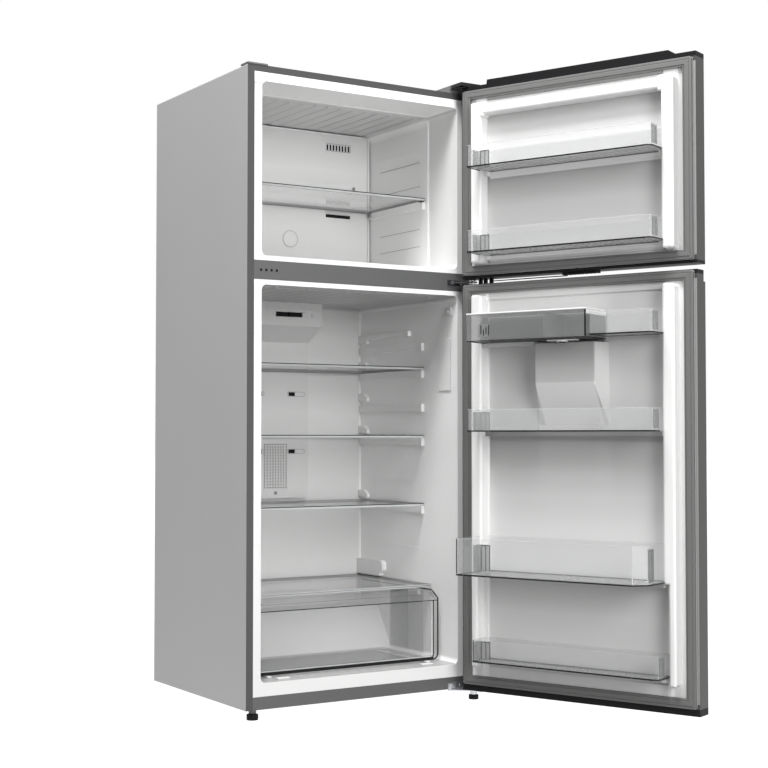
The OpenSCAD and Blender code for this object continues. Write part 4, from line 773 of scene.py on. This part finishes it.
def gasket(node, door):
    """One door's gasket, from its section as (inset, distance behind its face)."""
    low, high = shut_box(node, door)
    width, corner = 0.0250, 0.006
    section = ((0, 0.0026), (0.0012, 0.0016), (0.0058, 0.0014), (0.0064, 0.0022),
               (0.0072, 0.0022), (0.0080, 0.0005), (0.0090, 0), (0.0180, 0), (0.0190, 0.0005),
               (0.0198, 0.0022), (0.0206, 0.0022), (0.0212, 0.0012), (0.0240, 0.0018),
               (width, 0.0030))
    profile = [(0, low.y), *[(inset, high.y - drop) for inset, drop in section], (width, low.y)]
    shape = bmesh.new()
    loop_band(shape, (low.x, low.z), (high.x, high.z), corner, profile)
    finish_piece(node + "_vinyl", shape, (seal,), door, "seal_grey", node, turn=turns[door])


gasket("freezer_door_gasket", "freezer_door")
gasket("fridge_door_gasket", "fridge_door")

# ---------------------------------------------------------------- gasket flap, skin bends
# The freezer's gasket has a broad vinyl flap under its top run. Each door's painted skin is
# folded in round the liner, and the fold carries a painted highlight on the free side.

bend_painted_highlight = surface("skin_bend_painted_highlight", (0.30, 0.30, 0.297), 0.4, metal=0.2, grain_scale=1600, bump=0.05)
low, high = shut_box("freezer_door_gasket", "freezer_door")
shape = bmesh.new()
brick(shape, (CASE_MIDDLE - 0.262, low.y + 0.001, high.z - 0.0335),
      (CASE_MIDDLE + 0.262, high.y - 0.0034, high.z - 0.0240), round_by=0.001)
finish_piece("gasket_flap", shape, (seal,), "freezer_door", "seal_grey", turn=turns["freezer_door"])
for door in turns:
    low, high = shut_box(door + "_skin", door)
    foot, top = low.z + 0.012, high.z - 0.012
    shape = bmesh.new()
    # The bend's painted highlight, and the dark line beside it
    brick(shape, (low.x + 0.0006, high.y - 0.0004, foot), (low.x + 0.0090, high.y + 0.0006, top), 0)
    brick(shape, (low.x + 0.0092, high.y - 0.0004, foot), (low.x + 0.0112, high.y + 0.0005, top), 1)
    finish_piece(door + "_bend", shape, (bend_painted_highlight, black), door, "rim_paint", turn=turns[door])

# ---------------------------------------------------------------- crisper drawer
# One deep clear moulding that slides on the compartment's floor. Its thick edges look dark,
# and a smoky band frames the front, with the grip along its top. Painted shade lies on its
# floor and on the rear part of its side walls.

drawer_clear = surface("drawer_clear", (0.42, 0.425, 0.425), 0.08, bump=0.0, gloss_drift=0.02,
                       alpha=0.08)
# Smoky tint of the front band and lip, and painted shade on the floor and the side walls
tint_and_painted_shade = surface("clear_tint_and_painted_shade", (0.20, 0.202, 0.202), 0.15, bump=0.0, gloss_drift=0.02, alpha=0.18)
dress(drawer_clear, "crisper_drawer")
LINE, DIM, BRIGHT = range(3)


def path_band(shape, points, width, y0, y1, look):
    """A flat band along an open path of (X, Z), with its width to the left of the path."""
    spots = [Vector(p) for p in points]
    count = len(spots)
    rows = []
    for i, here in enumerate(spots):
        a = (here - spots[i - 1]).normalized() if i else (spots[1] - here).normalized()
        b = (spots[i + 1] - here).normalized() if i < count - 1 else a
        inward = Vector((-a.y - b.y, a.x + b.x))
        inner = here + inward / inward.dot(Vector((-a.y, a.x))) * width
        rows.append([shape.verts.new(v) for v in ((here.x, y0, here.y), (here.x, y1, here.y),
                                                  (inner.x, y1, inner.y), (inner.x, y0, inner.y))])
    faces = [shape.faces.new(rows[0]), shape.faces.new(rows[-1][::-1])]
    for a, b in zip(rows, rows[1:]):
        for i in range(4):
            faces.append(shape.faces.new((a[i], a[(i + 1) % 4], b[(i + 1) % 4], b[i])))
    for face in faces:
        face.material_index = look


def cup(left, right, foot, top, r, cut=0):
    """An open path down the left side, along the foot with round corners, and up the right.

    cut is the width of the slope at each top corner, which is 1.2 times as high.
    """
    turn = [math.radians(a) for a in range(0, 91, 18)]
    ends = ([(left + cut, top)], [(right - cut, top)]) if cut else ([], [])
    return (ends[0] + [(left, top - cut * 1.2)]
            + [(left + r - r * math.cos(a), foot + r - r * math.sin(a)) for a in turn]
            + [(right - r + r * math.sin(a), foot + r - r * math.cos(a)) for a in turn]
            + [(right, top - cut * 1.2)] + ends[1])


low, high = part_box("crisper_drawer")
left, right, foot = low.x - 0.003, high.x + 0.003, low.z
front, grip = low.y + 0.0030, high.z - 0.0290
shape = bmesh.new()
# Outline of the front and the smoky band inside it, then outline and gleam of its field
outline = cup(left, right, foot, high.z - 0.001, 0.018, 0.018)
path_band(shape, outline, 0.0022, front - 0.004, front, LINE)
border = cup(left + 0.003, right - 0.003, foot + 0.003, high.z - 0.002, 0.016, 0.018)
path_band(shape, border, 0.0105, front - 0.0012, front - 0.0008, DIM)
field = cup(left + 0.015, right - 0.015, foot + 0.006, grip, 0.010)
path_band(shape, field, 0.0016, front - 0.003, front - 0.0004, LINE)
gleam = cup(left + 0.019, right - 0.019, foot + 0.0085, grip - 0.004, 0.010)
path_band(shape, gleam, 0.0030, front - 0.0012, front - 0.0008, BRIGHT)
# Dark foot, grip line and the lip above it
brick(shape, (left + 0.016, front - 0.0030, foot + 0.0022),
      (right - 0.016, front, foot + 0.0078), LINE)
brick(shape, (left + 0.003, front - 0.0036, grip - 0.0010),
      (right - 0.003, front, grip + 0.0010), LINE)
brick(shape, (left + 0.020, front - 0.0030, high.z - 0.0120),
      (right - 0.060, front, high.z - 0.0106), DIM)
# Painted shade on the floor and, on each side, on the rear part of the wall, with its top edge
brick(shape, (low.x + 0.012, low.y + 0.020, foot + 0.0040),
      (high.x - 0.012, high.y - 0.16, foot + 0.0046), DIM)
for x in (low.x + 0.0004, high.x - 0.0034):
    brick(shape, (x + 0.0002, low.y + 0.070, foot + 0.012),
          (x + 0.0024, low.y + 0.245, high.z - 0.006), DIM)
    brick(shape, (x + 0.0002, low.y + 0.150, foot + 0.016),
          (x + 0.0024, low.y + 0.235, high.z - 0.010), DIM)
    brick(shape, (x, low.y + 0.026, high.z - 0.004),
          (x + 0.003, high.y - 0.02, high.z - 0.0005), LINE)
finish_piece("drawer_edges", shape, (edge_dark, tint_and_painted_shade, edge_pale), "drawer", "clear_bin")

# ---------------------------------------------------------------- shelf fronts
# The ground front edge of each glass plate reads as a thin dark line above a pale lip. The
# freezer shelf also has dark clips and pads at its corners.

pale_lip = surface("pale_lip", (0.62, 0.63, 0.63), 0.2, bump=0.0, gloss_drift=0.02, alpha=0.9)
LINE, LIP, CLIP = range(3)
for shelf in shelves:
    low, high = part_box(shelf + "_trim")
    left, right = low.x + 0.003, high.x - 0.003
    fixed = shelf == "crisper_cover"
    shape = bmesh.new()
    brick(shape, (left, low.y - 0.0004, high.z - 0.0024),
          (right, low.y + 0.0006, high.z - 0.0003), LIP if fixed else LINE)
    brick(shape, (left, low.y - 0.0003, low.z + 0.0003),
          (right, low.y + 0.0006, high.z - 0.0026), LIP)
    if fixed:
        # Its dark line is lower, on the lip itself
        brick(shape, (left, low.y - 0.0006, high.z - 0.0042),
              (right, low.y - 0.0003, high.z - 0.0032), LINE)
    else:
        # Dark line under the frame's rear edge
        brick(shape, (left, high.y - 0.0050, low.z - 0.0008),
              (right, high.y - 0.0010, low.z - 0.0001), LINE)
    if shelf == "freezer_shelf":
        # Clips at the rear corners and pads under the front ones
        for x in (low.x + 0.0006, high.x - 0.0126):
            brick(shape, (x, high.y - 0.016, low.z - 0.012),
                  (x + 0.012, high.y - 0.002, low.z - 0.0002), CLIP, 0.001)
            brick(shape, (x + 0.001, low.y + 0.004, low.z - 0.0034),
                  (x + 0.011, low.y + 0.018, low.z - 0.0002), LINE, 0.001)
    finish_piece(shelf + "_front", shape, (edge_dark, pale_lip, smoke),
                 "cabinet" if fixed else shelf, "light_trim")

# ---------------------------------------------------------------- rail vents
# Four round vent holes punched in the painted rail between the compartments, near its free
# end. Black discs in them are painted shade.

shape = bmesh.new()
low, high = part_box("mullion_rail")
for k in range(4):
    drum(shape, (low.x + 0.020 + 0.0153 * k, low.y, (low.z + high.z) / 2), 0.0036, 0.0012,
         segments=20, forward=True)
finish_piece("rail_vents", shape, (black,), "cabinet", "black_plastic")

# ---------------------------------------------------------------- air ways
# Black plates behind the openings of the duct and of the evaporator cover are painted shade.
# Grey caps close their screw holes, and a painted shade line runs above and below the cover's
# upper outlets.

cap_tone = surface("screw_cap_grey", (0.22, 0.22, 0.22), 0.5, bump=0.05)
shade_tone = surface("shade_line", (0.30, 0.30, 0.30), 0.6, bump=0.05)
WAY, CAP, SHADE = range(3)
seat = 0.0003  # between each moulding and the wall behind it
duct_low, duct_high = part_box("air_duct")
duct_face = duct_high.y + seat - 0.020
cover_low, cover_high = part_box("evaporator_cover")
cover_face = cover_high.y + seat - 0.062
middle = (duct_low.x + duct_high.x) / 2


def both_sides(near, far):
    """The (left, right) ends of a bar on each side of the duct's middle."""
    return [sorted((middle + side * near, middle + side * far)) for side in (-1, 1)]


duct_outlets = [duct_low.z + height for height in (0.132, 0.3025)]
shape = bmesh.new()
# Painted shade: black plates behind the duct's openings, then behind the cover's
brick(shape, (middle - 0.041, duct_face + 0.0033, duct_low.z + 0.026),
      (middle + 0.041, duct_face + 0.0037, duct_low.z + 0.166), WAY)
for z in duct_outlets:
    for left, right in both_sides(0.043, 0.067):
        brick(shape, (left, duct_face + 0.0040, z - 0.001),
              (right, duct_face + 0.0044, z + 0.014), WAY)
drum(shape, (middle, duct_face - 0.0017, duct_low.z + 0.016), 0.0052, 0.0004, CAP, forward=True)
for left, right in both_sides(0.146, 0.234):
    brick(shape, (left, cover_face + 0.0033, cover_high.z - 0.053),
          (right, cover_face + 0.0037, cover_high.z - 0.032), WAY)
    brick(shape, (left, cover_face + 0.0033, cover_low.z + 0.185),
          (right, cover_face + 0.0037, cover_low.z + 0.199), WAY)
for x in (middle - 0.244, middle + 0.244):
    drum(shape, (x, cover_face - 0.0007, cover_high.z - 0.162), 0.0054, 0.0004, CAP, forward=True)
for z in (cover_high.z - 0.0320, cover_high.z - 0.0545):
    for left, right in both_sides(0.1450, 0.2345):
        brick(shape, (left, cover_face - 0.0008, z), (right, cover_face - 0.0002, z + 0.0022), SHADE)
finish_piece("air_ways", shape, (black, cap_tone, shade_tone), "cabinet", "black_plastic")

# ---------------------------------------------------------------- moulding lines
# Lines about a millimetre high or less, where the mouldings meet or step: a painted highlight
# on the evaporator cover's rim, and painted shade lines inside that rim, round its round cap,
# round the duct's outlets and along the ribs of both liners.

painted_highlight_white = surface("painted_highlight_white", (0.93, 0.93, 0.925), 0.4, bump=0.03)
rib_painted_shade = surface("rib_painted_shade_line", (0.36, 0.36, 0.36), 0.6, bump=0.05)
RING, RIM, RIB = range(3)


def flat_ring(shape, low, high, radius, width, y, thick, look):
    """A flat band on a wall, round a standing rectangle with round corners."""
    section = [(0, y), (0, y + thick), (width, y + thick), (width, y)]
    loop_band(shape, low, high, radius, section, look)


left, right = cover_low.x + 0.0008, cover_high.x - 0.0008
foot, top = cover_low.z + 0.002, cover_high.z - 0.0040
shape = bmesh.new()
# Painted highlight on the cover's raised rim
brick(shape, (left, cover_face - 0.0010, top),
      (right, cover_face - 0.0001, cover_high.z - 0.0010), RIM)
for x in (left, right - 0.0034):
    brick(shape, (x, cover_face - 0.0010, foot), (x + 0.0034, cover_face - 0.0001, top), RIM)
# Painted shade lines inside the rim
for x in (left + 0.0046, right - 0.0058):
    brick(shape, (x, cover_face - 0.0006, foot),
          (x + 0.0010, cover_face - 0.0001, cover_high.z - 0.0060), RIB)
# Painted shade line round the cover's round cap
x, z, r = middle + 0.025, 1.307, 0.0252
flat_ring(shape, (x - r, z - r), (x + r, z + r), r, 0.0012, cover_face - 0.0012, 0.0010, RIB)
# Painted shade lines round the duct's outlets
for z in duct_outlets:
    for left, right in both_sides(0.038, 0.098):
        flat_ring(shape, (left, z - 0.0005), (right, z + 0.0135), 0.0065, 0.0011,
                  duct_face - 0.0006, 0.0005, RING)
# Painted shade lines on the teeth of the freezer's and the fridge's ceiling: pitch, shift, depth
# range, height range
for k in range(-6, 7):
    for pitch, shift, y0, y1, z0, z1 in (
            (0.040425, 0.0178, 0.206, 0.480, 1.6360, 1.6364),
            (0.044000, 0.0193, 0.104, 0.452, 1.1121, 1.1124)):
        x = middle + k * pitch + shift
        brick(shape, (x - 0.0006, y0, z0), (x + 0.0006, y1, z1), RIB)
# Painted shade lines at the ribs of the freezer's walls, at shares of the compartment's height
wall_foot, wall_height = 1.191, 0.454
for share in (0.187, 0.297, 0.573, 0.727):
    z = wall_foot + share * wall_height
    for left, right in both_sides(0.3014, 0.3018):
        brick(shape, (left, 0.232, z - 0.0030), (right, 0.448, z - 0.0016), RIB)
finish_piece("moulding_lines", shape, (shade_tone, painted_highlight_white, rib_painted_shade), "cabinet", "liner_white")

# ---------------------------------------------------------------- hinge washers
# Black washers on both pins of the middle hinge, a bright one beside each, and two bright
# screw heads that hold its plate.

PLAIN, PLATED = range(2)
low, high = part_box("middle_hinge")
x, y = joint_named("fridge_door_swing")["pos_m"][:2]
z = (low.z + high.z) / 2
shape = bmesh.new()
for reach in (0.0445, 0.0165):
    drum(shape, (x - reach, y + 0.0335, z), 0.0050, 0.0012, PLATED, forward=True)
for lift, look in ((-0.0050, PLATED), (0.0050, PLATED), (-0.0068, PLAIN), (0.0068, PLAIN)):
    drum(shape, (x, y, z + lift), 0.0085, 0.0016, look)
finish_piece("hinge_washers", shape, (black, zinc), "cabinet", "zinc_steel")

# ---------------------------------------------------------------- door stop
# A black moulding fixed under the freezer door: three blocks at the hinge end, and the thin
# bar that closes the gap between the doors.

shape = bmesh.new()
for left, right in ((0.307, 0.316), (0.291, 0.300), (0.272, 0.281)):
    brick(shape, (CASE_MIDDLE + left, 0.0003, 1.1450), (CASE_MIDDLE + right, 0.0103, 1.1596),
          round_by=0.0008)
brick(shape, (CASE_MIDDLE + 0.036, 0.0083, 1.1512), (CASE_MIDDLE + 0.275, 0.0118, 1.1538))
finish_piece("door_stop", shape, (black,), "freezer_door", "black_plastic",
             turn=turns["freezer_door"])
